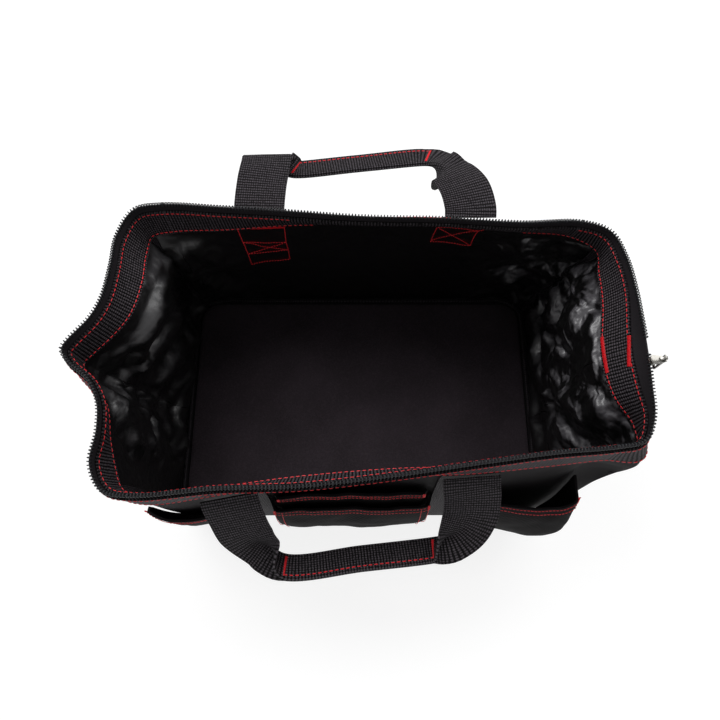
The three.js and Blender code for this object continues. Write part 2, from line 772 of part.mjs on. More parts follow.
// A plate of the slider, wide where the two halves of the zip come in and narrow behind.
function sliderPlate(bottom) {
  const shape = new THREE.Shape();
  const half = SLIDER_LENGTH / 2;
  const wide = SLIDER_WIDTH / 2;
  const narrow = wide * 0.72;
  shape.moveTo(half, narrow);
  shape.quadraticCurveTo(0, wide * 0.78, -half * 0.5, wide);
  shape.quadraticCurveTo(-half, wide, -half, 0);
  shape.quadraticCurveTo(-half, -wide, -half * 0.5, -wide);
  shape.quadraticCurveTo(0, -wide * 0.78, half, -narrow);
  return extruded(shape, SLIDER_PLATE).translate(0, 0, bottom);
}

function sliderBody() {
  const post = new THREE.CylinderGeometry(1.6, 1.6, SLIDER_MOUTH + 1, 12);
  post.rotateX(Math.PI / 2).translate(3 - SLIDER_LENGTH / 2, 0, 0);
  const lug = new THREE.Shape();
  lug.moveTo(-LUG_REACH - 2, -LUG_HEIGHT / 2 - SLIDER_PLATE / 2);
  lug.lineTo(-LUG_REACH / 2, -LUG_HEIGHT / 2 - SLIDER_PLATE / 2);
  lug.lineTo(LUG_REACH / 2, -LUG_HEIGHT / 4);
  lug.absarc(0, 0, LUG_HEIGHT / 2, -0.5, Math.PI / 2, false);
  lug.lineTo(-LUG_REACH - 2, 0);
  const eye = new THREE.Path();
  eye.absarc(0, 0, PIN_RADIUS + PIN_CLEARANCE, 0, 2 * Math.PI, true);
  lug.holes.push(eye);
  const lugBody = extruded(lug, LUG_WIDTH, 8)
    .rotateX(Math.PI / 2)
    .translate(lugCentre.x, LUG_WIDTH / 2, lugCentre.z);
  const plates = [sliderPlate(SLIDER_MOUTH / 2), sliderPlate(-SLIDER_MOUTH / 2 - SLIDER_PLATE)];
  return joined([...plates, post, lugBody]);
}

// The pull hangs on a pin through the slider's lug, between two fingers of its own.
function pullTab() {
  const half = PULL_WIDTH / 2;
  const slot = LUG_WIDTH / 2 + PIN_CLEARANCE;
  const neck = LUG_HEIGHT / 2 + 1;
  const shape = new THREE.Shape();
  shape.moveTo(slot, 1.2);
  shape.lineTo(slot, -neck);
  shape.lineTo(-slot, -neck);
  shape.lineTo(-slot, 1.2);
  shape.lineTo(-half, 1.2);
  shape.lineTo(-half * 0.8, -neck - 3);
  shape.lineTo(-half, -PULL_LENGTH + 3);
  shape.quadraticCurveTo(-half, -PULL_LENGTH, 0, -PULL_LENGTH);
  shape.quadraticCurveTo(half, -PULL_LENGTH, half, -PULL_LENGTH + 3);
  shape.lineTo(half * 0.8, -neck - 3);
  shape.lineTo(half, 1.2);
  const hole = new THREE.Path();
  hole.absellipse(0, -PULL_LENGTH + 7, 2, 3, 0, 2 * Math.PI, true);
  shape.holes.push(hole);
  const plate = extruded(shape, PULL_THICKNESS)
    .translate(0, 0, -PULL_THICKNESS / 2)
    .rotateX(Math.PI / 2)
    .rotateZ(Math.PI / 2);
  const pin = new THREE.CylinderGeometry(PIN_RADIUS, PIN_RADIUS, PULL_WIDTH - 1, 12);
  return joined([plate, pin]);
}

const bag = new THREE.Group();

function addPiece(name, geometry, finish, parent = bag) {
  const mesh = new THREE.Mesh(geometry, new THREE.MeshStandardMaterial(finish));
  mesh.name = name;
  parent.add(mesh);
  return mesh;
}

function addWallSide(name, span) {
  const us = columnList(span);
  addPiece(`${name}_panel`, layerOver(us, panelRows, LAYERS.panel), COATED_CLOTH);
  addPiece(`${name}_inner_band`, layerOver(us, bandRows, LAYERS.innerBand), BLACK_WEBBING);
  addPiece(`${name}_outer_band`, layerOver(us, bandRows, LAYERS.outerBand), BLACK_WEBBING);
}

function addZipStretch(name, span) {
  addPiece(`${name}_zip_tape`, layerOver(columnList(span), tapeRows, LAYERS.tape), BLACK_CLOTH);
  const [from, to] = span;
  const coil = coilBody(moved(from, SEAM_GAP / 2), moved(to, -SEAM_GAP / 2));
  addPiece(`${name}_zip_coil`, coil, COIL_NYLON);
}

function addPockets(name, span, pockets) {
  for (const [place, pocket] of Object.entries(pockets)) {
    const { cloth, hem } = pocketParts(span, pocket);
    addPiece(`${name}_pocket_${place}`, cloth, BLACK_CLOTH);
    addPiece(`${name}_pocket_${place}_hem`, hem, BLACK_CLOTH);
  }
}

function addStraps(name, span, places) {
  places.forEach((x, i) => {
    addPiece(`${name}_strap_${i ? "right" : "left"}`, sewnStrap(span, x), BLACK_WEBBING);
  });
}

addPiece("floor_panel", floorPlate(-CLOTH, 0, FLOOR_THICKNESS), BLACK_CLOTH);
addPiece("floor_seam_binding", floorBinding(), BLACK_CLOTH);
addPiece("base_board", floorPlate(BOARD_INSET, wallFoot, BOARD_THICKNESS), BOARD_CLOTH);

addWallSide("front", FRONT);
addWallSide("right_end", RIGHT);
addWallSide("rear", REAR);
addWallSide("left_end", LEFT);

// The zip parts beside the parked slider stop short of it on both sides.
addZipStretch("front", FRONT);
addZipStretch("right_front", [RIGHT[0], moved(SLIDER_LINE, -sliderRoom)]);
addZipStretch("right_rear", [moved(SLIDER_LINE, sliderRoom), RIGHT[1]]);
addZipStretch("rear", REAR);
addZipStretch("left", LEFT);

addPiece("zip_end_gusset", zipEndGusset(), BLACK_CLOTH);

for (const corner of ["front_left", "front_right", "rear_right", "rear_left"]) {
  addPiece(`${corner}_seam_tape`, cornerTape(`${corner}_seam`), BLACK_CLOTH);
}

addStraps("front", FRONT, FRONT_STRAPS);
addStraps("rear", REAR, REAR_STRAPS);
addPockets("front", FRONT, FRONT_POCKETS);
addPockets("rear", REAR, REAR_POCKETS);

addPiece("front_handle", frontHandle(), BLACK_WEBBING);
addPiece("rear_handle", rearHandle(), BLACK_WEBBING);

const sliderGroup = new THREE.Group();
sliderGroup.position.copy(sliderCentre);
bag.add(sliderGroup);
addPiece("zip_slider", sliderBody(), NICKEL, sliderGroup);
const pull = addPiece("pull_tab", pullTab(), NICKEL, sliderGroup);
pull.position.copy(lugCentre);

export default bag;
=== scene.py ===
"""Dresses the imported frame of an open, wide-mouth tool bag in cloth, webbing, zip and thread."""

import math

import bpy
import numpy as np
from bpy.props import FloatProperty, FloatVectorProperty, PointerProperty
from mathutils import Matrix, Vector, noise


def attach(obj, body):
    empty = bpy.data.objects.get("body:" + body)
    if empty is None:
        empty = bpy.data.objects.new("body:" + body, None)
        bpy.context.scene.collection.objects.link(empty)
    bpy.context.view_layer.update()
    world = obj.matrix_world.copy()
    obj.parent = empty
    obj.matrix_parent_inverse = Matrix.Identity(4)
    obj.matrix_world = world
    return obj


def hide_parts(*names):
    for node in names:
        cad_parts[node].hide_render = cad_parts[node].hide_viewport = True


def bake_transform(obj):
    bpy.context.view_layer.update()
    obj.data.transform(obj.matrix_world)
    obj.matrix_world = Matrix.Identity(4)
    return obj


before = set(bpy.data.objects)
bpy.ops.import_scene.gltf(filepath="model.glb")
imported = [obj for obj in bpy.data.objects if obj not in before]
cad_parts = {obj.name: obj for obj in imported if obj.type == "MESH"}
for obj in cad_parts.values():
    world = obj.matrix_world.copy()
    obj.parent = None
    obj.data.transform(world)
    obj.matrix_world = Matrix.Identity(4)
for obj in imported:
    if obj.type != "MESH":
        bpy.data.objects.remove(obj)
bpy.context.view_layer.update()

bl_info = {
    "name": "Wide-mouth tool bag",
    "version": (1, 0, 0),
    "blender": (4, 5, 0),
    "location": "View3D > Sidebar > Tool bag",
    "description": "Models an open tool bag with a zip, webbing handles and outside pockets",
    "category": "Add Mesh",
}

# Lengths in this file are millimetres, as in the part's source; meshes are in metres.
MM = 0.001

# Sizes of the bag. Most are the part's own, and the rest follow the photo more closely.
FLOOR_LENGTH = 360
FLOOR_DEPTH = 230
FLOOR_CORNER = 26
FLOOR_THICKNESS = 3
WALL_HEIGHT = 228
MOUTH_LENGTH = 400
MOUTH_DEPTH = 200
KNEE_DROP = 50
COLLAR_DROP = 13
COLLAR_LEAN = 0.1
BELLY = 3
CLOTH = 1.6
SEAM_GAP = 0.35
LAY_GAP = 0.8
BOARD_THICKNESS = 2.5
BOARD_INSET = 8
COIL_WIDTH = 5.2
TAPE_THICKNESS = 0.9
TAPE_SHOW = 4
TAPE_TUCK = 5
TAPE_GUSSET = 7
WEBBING = 1.5
BAND_WIDTH = 25
STRAP_WIDTH = 40
STRAP_FOOT = 7
FOLD_GAP = {"front": 1.7, "rear": 1}
FRONT_STRAPS = (-91, 77)
REAR_STRAPS = (-79.5, 86)
GRIP_HALF_LENGTH = 54
POCKET_CLOTH = 1.2
POCKET_HEIGHT = 133
POCKET_FOOT = 7
HEM_WIDTH = 8
HEM_EXTRA = 0.4
POCKET_OUTER_END = 163
POCKET_ROUNDNESS = 0.12

# Upright lines round the wall: floor share, mouth share, rise and flare. The floor's shares are
# the part's own, and the others follow the photo more closely.
WALL_LINES = [
    ((-1, -0.12), (-1.025, -0.208), 0, -1),
    ((-1, -0.2), (-1, -0.29), 0, 4),
    ((-1, -0.34), (-0.92, -0.42), 0, 11),
    ((-1, -0.5), (-0.88, -0.57), -1, 11),
    ((-1, -0.66), (-0.874, -0.78), -4, 8),
    ((-1, -0.84), (-0.892, -0.987), -8, -5),
    ((-0.95, -0.95), (-0.847, -1.15), -9, -3),
    ((-0.84, -1), (-0.75, -1.19), -6, 1),
    ((-0.52, -1), (-0.465, -1.155), 3, -3),
    ((-0.21, -1), (-0.19, -1.145), 6, -12),
    ((0.11, -1), (0.1, -1.08), 6, -9),
    ((0.42, -1), (0.38, -0.995), 4, 1),
    ((0.69, -1), (0.65, -0.915), -1, 5),
    ((0.87, -1), (0.86, -0.87), -7, 4),
    ((0.96, -0.94), (0.958, -0.82), -9, 17),
    ((1, -0.8), (0.995, -0.667), -8, 2),
    ((1, -0.55), (0.992, -0.45), -3, -15),
    ((1, -0.22), (0.988, -0.18), 0, -20),
    ((1, 0.08), (0.988, 0.04), -1, -19),
    ((1, 0.38), (0.993, 0.273), -5, -18),
    ((1, 0.68), (0.986, 0.538), -9, -12),
    ((0.98, 0.88), (0.944, 0.755), -10, 4),
    ((0.88, 1), (0.835, 0.815), -7, 12),
    ((0.66, 1), (0.6, 0.766), 0, 19),
    ((0.34, 1), (0.31, 0.77), 5, 23),
    ((0, 1), (0, 0.78), 6, 21),
    ((-0.33, 1), (-0.3, 0.835), 5, 13),
    ((-0.58, 1), (-0.525, 0.885), 2, 3),
    ((-0.84, 1), (-0.745, 0.935), -2, -5),
    ((-0.96, 0.95), (-0.862, 0.925), -8, -10),
    ((-1, 0.8), (-0.912, 0.725), -9, -20),
    ((-1, 0.55), (-0.911, 0.451), -5, -21),
    ((-1, 0.28), (-0.917, 0.18), -1, -14),
    ((-1, 0.12), (-0.947, 0.016), 0, -7),
    ((-1, -0.02), (-1.009, -0.146), 0, -4),
]
LINES = len(WALL_LINES)
SLIDER_LINE = 17
TIP_LINE = LINES

# Stretches of wall between upright lines, and the CAD wall each belongs to.
STRETCHES = {
    "front": (7, 13, "front"),
    "right_front": (13, SLIDER_LINE, "right_end"),
    "right_rear": (SLIDER_LINE, 22, "right_end"),
    "rear": (22, 28, "rear"),
    "left_rear": (28, TIP_LINE, "left_end"),
    "left_front": (TIP_LINE, 7 + LINES, "left_end"),
}


def catmull_rom(knots, t, closed=False):
    """Points at each t, from 0 to 1, on centripetal curves whose knots lie on the first axis."""
    knots = np.asarray(knots, float)
    count = len(knots)
    spans = count if closed else count - 1
    place = (np.asarray(t, float) % 1 if closed else np.asarray(t, float)) * spans
    first = np.clip(np.floor(place).astype(int), 0, spans - 1)
    w = (place - first).reshape((-1,) + (1,) * (knots.ndim - 1))
    if closed:
        p0, p1, p2, p3 = (knots[(first + k) % count] for k in (-1, 0, 1, 2))
    else:
        ends = [2 * knots[:1] - knots[1:2], knots, 2 * knots[-1:] - knots[-2:-1]]
        knots = np.concatenate(ends)
        p0, p1, p2, p3 = (knots[first + k] for k in range(4))
    d0, d1, d2 = (
        np.linalg.norm(b - a, axis=-1, keepdims=True) ** 0.5
        for a, b in ((p0, p1), (p1, p2), (p2, p3))
    )
    d1 = np.where(d1 < 1e-4, 1, d1)
    d0 = np.where(d0 < 1e-4, d1, d0)
    d2 = np.where(d2 < 1e-4, d1, d2)
    m1 = ((p1 - p0) / d0 - (p2 - p0) / (d0 + d1) + (p2 - p1) / d1) * d1
    m2 = ((p2 - p1) / d1 - (p3 - p1) / (d1 + d2) + (p3 - p2) / d2) * d1
    c2 = -3 * p1 + 3 * p2 - 2 * m1 - m2
    c3 = 2 * p1 - 2 * p2 + m1 + m2
    return p1 + m1 * w + c2 * w**2 + c3 * w**3


def unit(v):
    return v / np.maximum(np.linalg.norm(v, axis=-1, keepdims=True), 1e-9)


def smoothstep(x, low, high):
    t = np.clip((np.asarray(x, float) - low) / (high - low), 0, 1)
    return t * t * (3 - 2 * t)


def floor_edge(share_x, share_y, inset=0.0):
    """A point on the edge of the floor's rounded rectangle, drawn in by inset."""
    half_x, half_y = FLOOR_LENGTH / 2 - inset, FLOOR_DEPTH / 2 - inset
    radius = max(FLOOR_CORNER - inset, 1)
    x, y = share_x * half_x, share_y * half_y
    over_x, over_y = abs(x) - (half_x - radius), abs(y) - (half_y - radius)
    if over_x <= 0 or over_y <= 0:
        return (x, y, 0)
    reach = radius / math.hypot(over_x, over_y)
    return (
        math.copysign(half_x - radius + over_x * reach, x),
        math.copysign(half_y - radius + over_y * reach, y),
        0,
    )


U_STEP = 0.05
SHARES = 161


class Wall:
    """The bag's wall as a table: rows by share of height, columns by upright line."""

    def __init__(self):
        foot_z = FLOOR_THICKNESS + SEAM_GAP
        foot = np.array([floor_edge(*line[0]) for line in WALL_LINES])
        foot[:, 2] = foot_z
        mouth = np.array(
            [
                (m[0] * MOUTH_LENGTH / 2, m[1] * MOUTH_DEPTH / 2, WALL_HEIGHT + rise)
                for _, m, rise, _ in WALL_LINES
            ]
        )
        at_lines = np.arange(LINES) / LINES
        ahead = catmull_rom(foot, at_lines + 1e-4, True)
        behind = catmull_rom(foot, at_lines - 1e-4, True)
        tangent = ahead - behind
        outward = unit(np.stack([tangent[:, 1], -tangent[:, 0], 0 * tangent[:, 0]], 1))
        flare = np.array([line[3] for line in WALL_LINES], float)[:, None]
        knee, collar = (
            mouth + outward * flare * share
            - np.sqrt(drop**2 - (flare * share) ** 2) * np.array([0, 0, 1.0])
            for share, drop in ((1, KNEE_DROP), (COLLAR_LEAN, COLLAR_DROP))
        )
        self.us = np.arange(0, LINES, U_STEP)
        t = self.us / LINES
        foot_u, knee_u, collar_u, mouth_u = (
            catmull_rom(k, t, True) for k in (foot, knee, collar, mouth)
        )
        middle = (foot_u + knee_u) / 2
        away = middle * np.array([1 / FLOOR_LENGTH, 1 / FLOOR_DEPTH, 0])
        middle = middle + unit(away) * BELLY
        knots = np.stack([foot_u, middle, knee_u, collar_u, mouth_u])
        fine = catmull_rom(knots, np.linspace(0, 1, SHARES))
        steps = np.linalg.norm(np.diff(fine, axis=0), axis=-1)
        run = np.concatenate([np.zeros((1, len(self.us))), np.cumsum(steps, axis=0)])
        self.length = run[-1]
        even = np.linspace(0, 1, SHARES)
        self.points = np.empty_like(fine)
        for c in range(len(self.us)):
            for k in range(3):
                self.points[:, c, k] = np.interp(even, run[:, c] / run[-1, c], fine[:, c, k])
        along = np.roll(self.points, -1, 1) - np.roll(self.points, 1, 1)
        upward = np.gradient(self.points, axis=0)
        self.normals = unit(np.cross(along, upward))
        self.over = unit(self.points[-1] - self.points[-3])
        rim = self.points[-1]
        gaps = np.linalg.norm(np.roll(rim, -1, 0) - rim, axis=-1)
        self.rim_run = np.concatenate([[0], np.cumsum(gaps)])
        self.rim_us = np.append(self.us, LINES)

    def _mix(self, table, u, share=None):
        place = (np.asarray(u, float) % LINES) / U_STEP
        i = np.floor(place).astype(int) % len(self.us)
        w = (place - np.floor(place))[..., None]
        j = (i + 1) % len(self.us)
        if share is None:
            return table[i] * (1 - w) + table[j] * w
        height = np.clip(share, 0, 1) * (SHARES - 1)
        r = np.minimum(np.floor(height).astype(int), SHARES - 2)
        h = (height - r)[..., None]
        low = table[r, i] * (1 - w) + table[r, j] * w
        high = table[r + 1, i] * (1 - w) + table[r + 1, j] * w
        return low * (1 - h) + high * h

    def foot_drop(self, u):
        return self._mix(self.length[:, None], u)[..., 0]

    def at(self, u, drop, out=0.0, creased=False):
        """Points drop below the mouth that stand out of the inner face, and the normals there."""
        u, drop = np.broadcast_arrays(np.asarray(u, float), np.asarray(drop, float))
        share = 1 - drop / self.foot_drop(u)
        place = self._mix(self.points, u, share)
        place = place + self._mix(self.over, u) * np.maximum(-drop, 0)[..., None]
        normal = unit(self._mix(self.normals, u, share))
        foot = self.foot_drop(u)
        push = np.asarray(out, float) + slack(place, drop, foot)
        if creased:
            push = push + creases(place, drop, foot)
        return place + normal * push[..., None], normal

    def at_x(self, start, end, x, drop=KNEE_DROP):
        """The u between two lines at which the wall, drop below the mouth, has the given x."""
        us = np.linspace(start, end, 400)
        share = 1 - drop / self.foot_drop(us)
        xs = self._mix(self.points, us, share)[:, 0]
        order = np.argsort(xs)
        return float(np.interp(x, xs[order], us[order]))

    def drop_at(self, u, z):
        """The drops at which the wall's inner face, at one u, has each height z."""
        drops = np.linspace(0, float(self.foot_drop(u)), 500)
        us = np.full_like(drops, u)
        place = self._mix(self.points, us, 1 - drops / self.foot_drop(us))
        return np.interp(-np.asarray(z, float), -place[:, 2], drops)

    def rim_at(self, u):
        """Distance along the mouth from line 0."""
        turns = np.floor(np.asarray(u, float) / LINES)
        part = np.interp(np.asarray(u, float) - turns * LINES, self.rim_us, self.rim_run)
        return part + turns * self.rim_run[-1]

    def u_at_rim(self, run):
        turns = np.floor(np.asarray(run, float) / self.rim_run[-1])
        part = np.asarray(run, float) - turns * self.rim_run[-1]
        return np.interp(part, self.rim_run, self.rim_us) + turns * LINES


def noise_at(points, scale, seed=0.0):
    """Smooth noise from -1 to 1 at each point, with features about scale across."""
    offset = np.array([seed * 17.3, seed * 7.1, seed * 3.7])
    return np.array([noise.noise(p) for p in points.reshape(-1, 3) / scale + offset]).reshape(
        points.shape[:-1]
    )


# Where the cloth sags in under the front right corner: the middle, the reach and the depth.
DENT_MIDDLE = (186, -104, 140)
DENT_REACH = (22, 24, 45)
DENT_DEPTH = 9


# How far slack cloth stands off its true wall, and how broad its waves are
SLACK_DEPTH = 2.2
SLACK_WAVE = 62


def slack(points, drop, foot):
    """How far slack cloth stands off its true wall: nothing at the mouth and at the floor."""
    free = smoothstep(drop, 25, 80) * smoothstep(foot - drop, 0, 45)
    push = np.zeros(points.shape[:-1])
    loose = free > 0
    if np.any(loose):
        waves = noise_at(points[loose] * (1, 1, 0.55), SLACK_WAVE, 3)
        push[loose] = SLACK_DEPTH * free[loose] * waves
        away = np.linalg.norm((points[loose] - DENT_MIDDLE) / DENT_REACH, axis=-1)
        push[loose] -= DENT_DEPTH * free[loose] * np.exp(-(away**2))
    return push


# Each size of crease: how broad it is, how deep, and the seed of its noise.
CREASES = ((58, 9.0, 5), (30, 4.6, 6), (15, 1.8, 7))


def creases(points, drop, foot):
    """How far crumpled cloth stands inwards: folds of three sizes, deepest at the bag's ends.
    There are none under the bands, and they fade out towards the front, which the pockets keep
    flat."""
    x, y = points[..., 0], points[..., 1]
    ends = 0.12 + 0.88 * smoothstep(np.abs(x), 85, 150)
    free = smoothstep(drop, 36, 62) * smoothstep(foot - drop, 0, 25)
    free = free * ends * smoothstep(y, -100, -72)
    push = np.zeros(points.shape[:-1])
    loose = free > 0
    if np.any(loose):
        spots = points[loose]
        spots = spots + 9 * np.stack([noise_at(spots, 40, seed) for seed in (11, 12, 13)], -1)
        for size, depth, seed in CREASES:
            ridge = 1 - smoothstep(np.abs(noise_at(spots, size, seed)), 0, 0.42)
            push[loose] -= depth * free[loose] * ridge
    return push


WALL = Wall()


def band_top(u):
    away = np.abs((np.asarray(u, float) % LINES) - SLIDER_LINE) / 2.5
    dip = np.where(away < 1, np.cos(np.minimum(away, 1) * math.pi / 2) ** 2, 0)
    return COIL_WIDTH + TAPE_SHOW + TAPE_GUSSET * dip


def vertices(piece):
    """The piece's vertices, in millimetres."""
    co = np.empty(len(piece.data.vertices) * 3)
    piece.data.vertices.foreach_get("co", co)
    return co.reshape(-1, 3) / MM


def place_vertices(piece, points):
    piece.data.vertices.foreach_set("co", (points * MM).ravel())
    piece.data.update()


def only(piece):
    """Selects this piece alone and makes it the active one."""
    bpy.ops.object.select_all(action="DESELECT")
    piece.select_set(True)
    bpy.context.view_layer.objects.active = piece
    return piece


def modify(piece, kind, **settings):
    only(piece)
    bpy.ops.object.modifier_add(type=kind)
    modifier = piece.modifiers[-1]
    for key, value in settings.items():
        setattr(modifier, key, value)
    bpy.ops.object.modifier_apply(modifier=modifier.name)
    return piece


def thicken(piece, thickness, offset=-1.0, lined=False):
    """Gives a sheet its thickness; a lined one wears its second material on the inner face."""
    return modify(
        piece,
        "SOLIDIFY",
        thickness=thickness * MM,
        offset=offset,
        use_rim=True,
        material_offset=1 if lined else 0,
        material_offset_rim=0,
    )


def grid_piece(name, across, down, lay, size, closed=False, turned=False):
    """A grid laid where lay puts each share of its width and height, in millimetres.
    Its UV map is its own run in metres, from size, its width and height in millimetres. A
    turned one has the height's run first."""
    bpy.ops.object.select_all(action="DESELECT")
    bpy.ops.mesh.primitive_grid_add(x_subdivisions=across, y_subdivisions=down, size=2 * MM)
    piece = bpy.context.view_layer.objects.active
    piece.name = piece.data.name = name
    shares = (vertices(piece)[:, :2] + 1) / 2
    place_vertices(piece, lay(shares[:, 0], shares[:, 1]))
    uv = piece.data.uv_layers.active
    uv.name = "Run"
    flat = np.empty(len(uv.data) * 2)
    uv.data.foreach_get("uv", flat)
    run = flat.reshape(-1, 2) * np.array(size) * MM
    uv.data.foreach_set("uv", (run[:, ::-1] if turned else run).ravel())
    if closed:
        only(piece)
        bpy.ops.object.mode_set(mode="EDIT")
        bpy.ops.mesh.select_all(action="SELECT")
        bpy.ops.mesh.remove_doubles(threshold=0.01 * MM)
        bpy.ops.object.mode_set(mode="OBJECT")
    return piece


def wear(piece, finishes):
    """Gives a piece its materials by name, the outer face's first."""
    piece.data.materials.clear()
    for finish in finishes.split():
        piece.data.materials.append(FINISHES[finish])


def dress(piece, finishes, follow, replaces=(), angle=45):
    """Gives a finished mesh its smoothing and what it moves with and stands for, and its
    materials unless it wears them already."""
    if finishes:
        wear(piece, finishes)
    only(piece)
    bpy.ops.object.shade_smooth_by_angle(angle=math.radians(angle))
    follow(piece)
    if replaces:
        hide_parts(*replaces)
    return piece


def along_with(body):
    return lambda piece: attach(piece, body)


def across_planes():
    """Bakes a piece's placement into its mesh; the piece follows no body."""

    def follow(piece):
        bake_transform(piece)

    return follow


# The front and the rear turn in whole. Each end's cloth has its placement baked in and follows no
# body.
WITH_BASE = along_with("base")
WITH_FRONT = along_with("front_side")
WITH_REAR = along_with("rear_side")
TO_FRONT = across_planes()
TO_REAR = across_planes()


def follow_of(stretch):
    whole = {"front": WITH_FRONT, "rear": WITH_REAR}
    return whole.get(stretch) or (TO_REAR if "rear" in stretch else TO_FRONT)


# Shader patterns


def linear(hex_colour):
    """An sRGB hex colour as a linear colour with alpha."""
    values = [int(hex_colour[i : i + 2], 16) / 255 for i in (1, 3, 5)]
    return [v / 12.92 if v <= 0.04045 else ((v + 0.055) / 1.055) ** 2.4 for v in values] + [1]


def add(tree, kind, settings=None, inputs=None):
    """Adds a shader node, sets its properties, and sets or links its inputs."""
    made = tree.nodes.new(f"ShaderNode{kind}")
    for key, value in (settings or {}).items():
        setattr(made, key, value)
    for key, value in (inputs or {}).items():
        if isinstance(value, bpy.types.NodeSocket):
            tree.links.new(value, made.inputs[key])
        else:
            made.inputs[key].default_value = value
    return made


# Settings of the arithmetic nodes
TIMES = {"operation": "MULTIPLY"}
SCALED = {"operation": "MULTIPLY_ADD"}
CLAMPED = {**SCALED, "use_clamp": True}
LARGER = {"operation": "MAXIMUM"}


def new_material(name):
    material = bpy.data.materials.new(name)
    material.use_nodes = True
    material.node_tree.nodes.clear()
    return material, material.node_tree


def finish_with(tree, tone, dark, light, inputs):
    """The shader, whose colour goes with tone from dark, in sRGB hex, to the bag's own light."""
    colours = add(tree, "Mix", {"data_type": "RGBA"}, {"Factor": tone, 6: linear(dark), 7: light})
    shader = add(tree, "BsdfPrincipled", None, {"Base Color": colours.outputs[2], **inputs})
    add(tree, "OutputMaterial", None, {"Surface": shader.outputs[0]})


def spots_of(tree, size, detail):
    """Noise whose features are about size millimetres across."""
    where = add(tree, "TexCoord").outputs["Object"]
    inputs = {"Vector": where, "Scale": 1 / (size * MM), "Detail": detail}
    return add(tree, "TexNoise", None, inputs).outputs[0]


# How far, in millimetres, a thread wanders off its straight line
WANDER = 0.5


def threads_of(tree, pitch_along, pitch_across):
    """Waves along and across a piece's own run, each thread pitch millimetres wide."""
    run = add(tree, "TexCoord").outputs["UV"]
    bent = add(tree, "TexNoise", None, {"Vector": run, "Scale": 1 / (7 * MM), "Detail": 2.0})
    shifted = add(
        tree, "VectorMath", SCALED,
        {0: bent.outputs["Color"], 1: (WANDER * MM, WANDER * MM, 0), 2: run},
    )
    parts = add(tree, "SeparateXYZ", None, {0: shifted.outputs[0]})
    waves = []
    for axis, pitch in ((0, pitch_along), (1, pitch_across)):
        angle = add(tree, "Math", TIMES, {0: parts.outputs[axis], 1: math.pi / (pitch * MM)})
        waves.append(add(tree, "Math", {"operation": "SINE"}, {0: angle.outputs[0]}).outputs[0])
    return waves


def woven(name, dark, light, pitch, depth, roughness):
    """A plain weave of round threads whose crowns catch the light, faded in broad patches."""
    material, tree = new_material(name)
    warp, weft = threads_of(tree, pitch, pitch)
    checker = add(tree, "Math", TIMES, {0: warp, 1: weft}).outputs[0]
    crowns = add(tree, "Math", SCALED, {0: checker, 1: 0.42, 2: 0.42}).outputs[0]
    fluff = spots_of(tree, 0.9, 4.0)
    worn = spots_of(tree, 34, 4.0)
    height = add(tree, "Math", SCALED, {0: fluff, 1: 0.5, 2: crowns}).outputs[0]
    shade = add(tree, "Math", CLAMPED, {0: worn, 1: 0.4, 2: -0.2}).outputs[0]
    tone = add(tree, "Math", CLAMPED, {0: height, 1: 0.62, 2: shade}).outputs[0]
    bump = add(tree, "Bump", None, {"Strength": depth, "Distance": 0.35 * MM, "Height": height})
    finish_with(
        tree, tone, dark, light,
        {
            "Roughness": roughness,
            "Specular IOR Level": 0.15,
            "Normal": bump.outputs[0],
        },
    )
    return material


def ribbed(name, dark, light, rib, warp_pitch, depth):
    """Webbing: round ribs across its length, each broken into beads by the warp, with their crowns
    painted lighter than the hollows between them as painted light and shade.
    """
    material, tree = new_material(name)
    ribs, warp = threads_of(tree, rib, warp_pitch)
    ribs = add(tree, "Math", {"operation": "ABSOLUTE"}, {0: ribs}).outputs[0]
    beads = add(tree, "Math", SCALED, {0: warp, 1: 0.28, 2: 0.72})
    height = add(tree, "Math", TIMES, {0: ribs, 1: beads.outputs[0]}).outputs[0]
    fluff = spots_of(tree, 1.2, 3.0)
    # Painted light and shade: the tone follows the ribs' and beads' height, lighter on their
    # crowns and darker in the hollows, mottled by the fluff noise.
    tone = add(tree, "Math", TIMES, {0: height, 1: fluff}).outputs[0]
    tone = add(tree, "Math", CLAMPED, {0: tone, 1: 3.2, 2: -0.5}).outputs[0]
    bump = add(tree, "Bump", None, {"Strength": depth, "Distance": 0.5 * MM, "Height": height})
    finish_with(
        tree, tone, dark, light,
        {
            "Roughness": 0.7,
            "Specular IOR Level": 0.15,
            "Normal": bump.outputs[0],
        },
    )
    return material


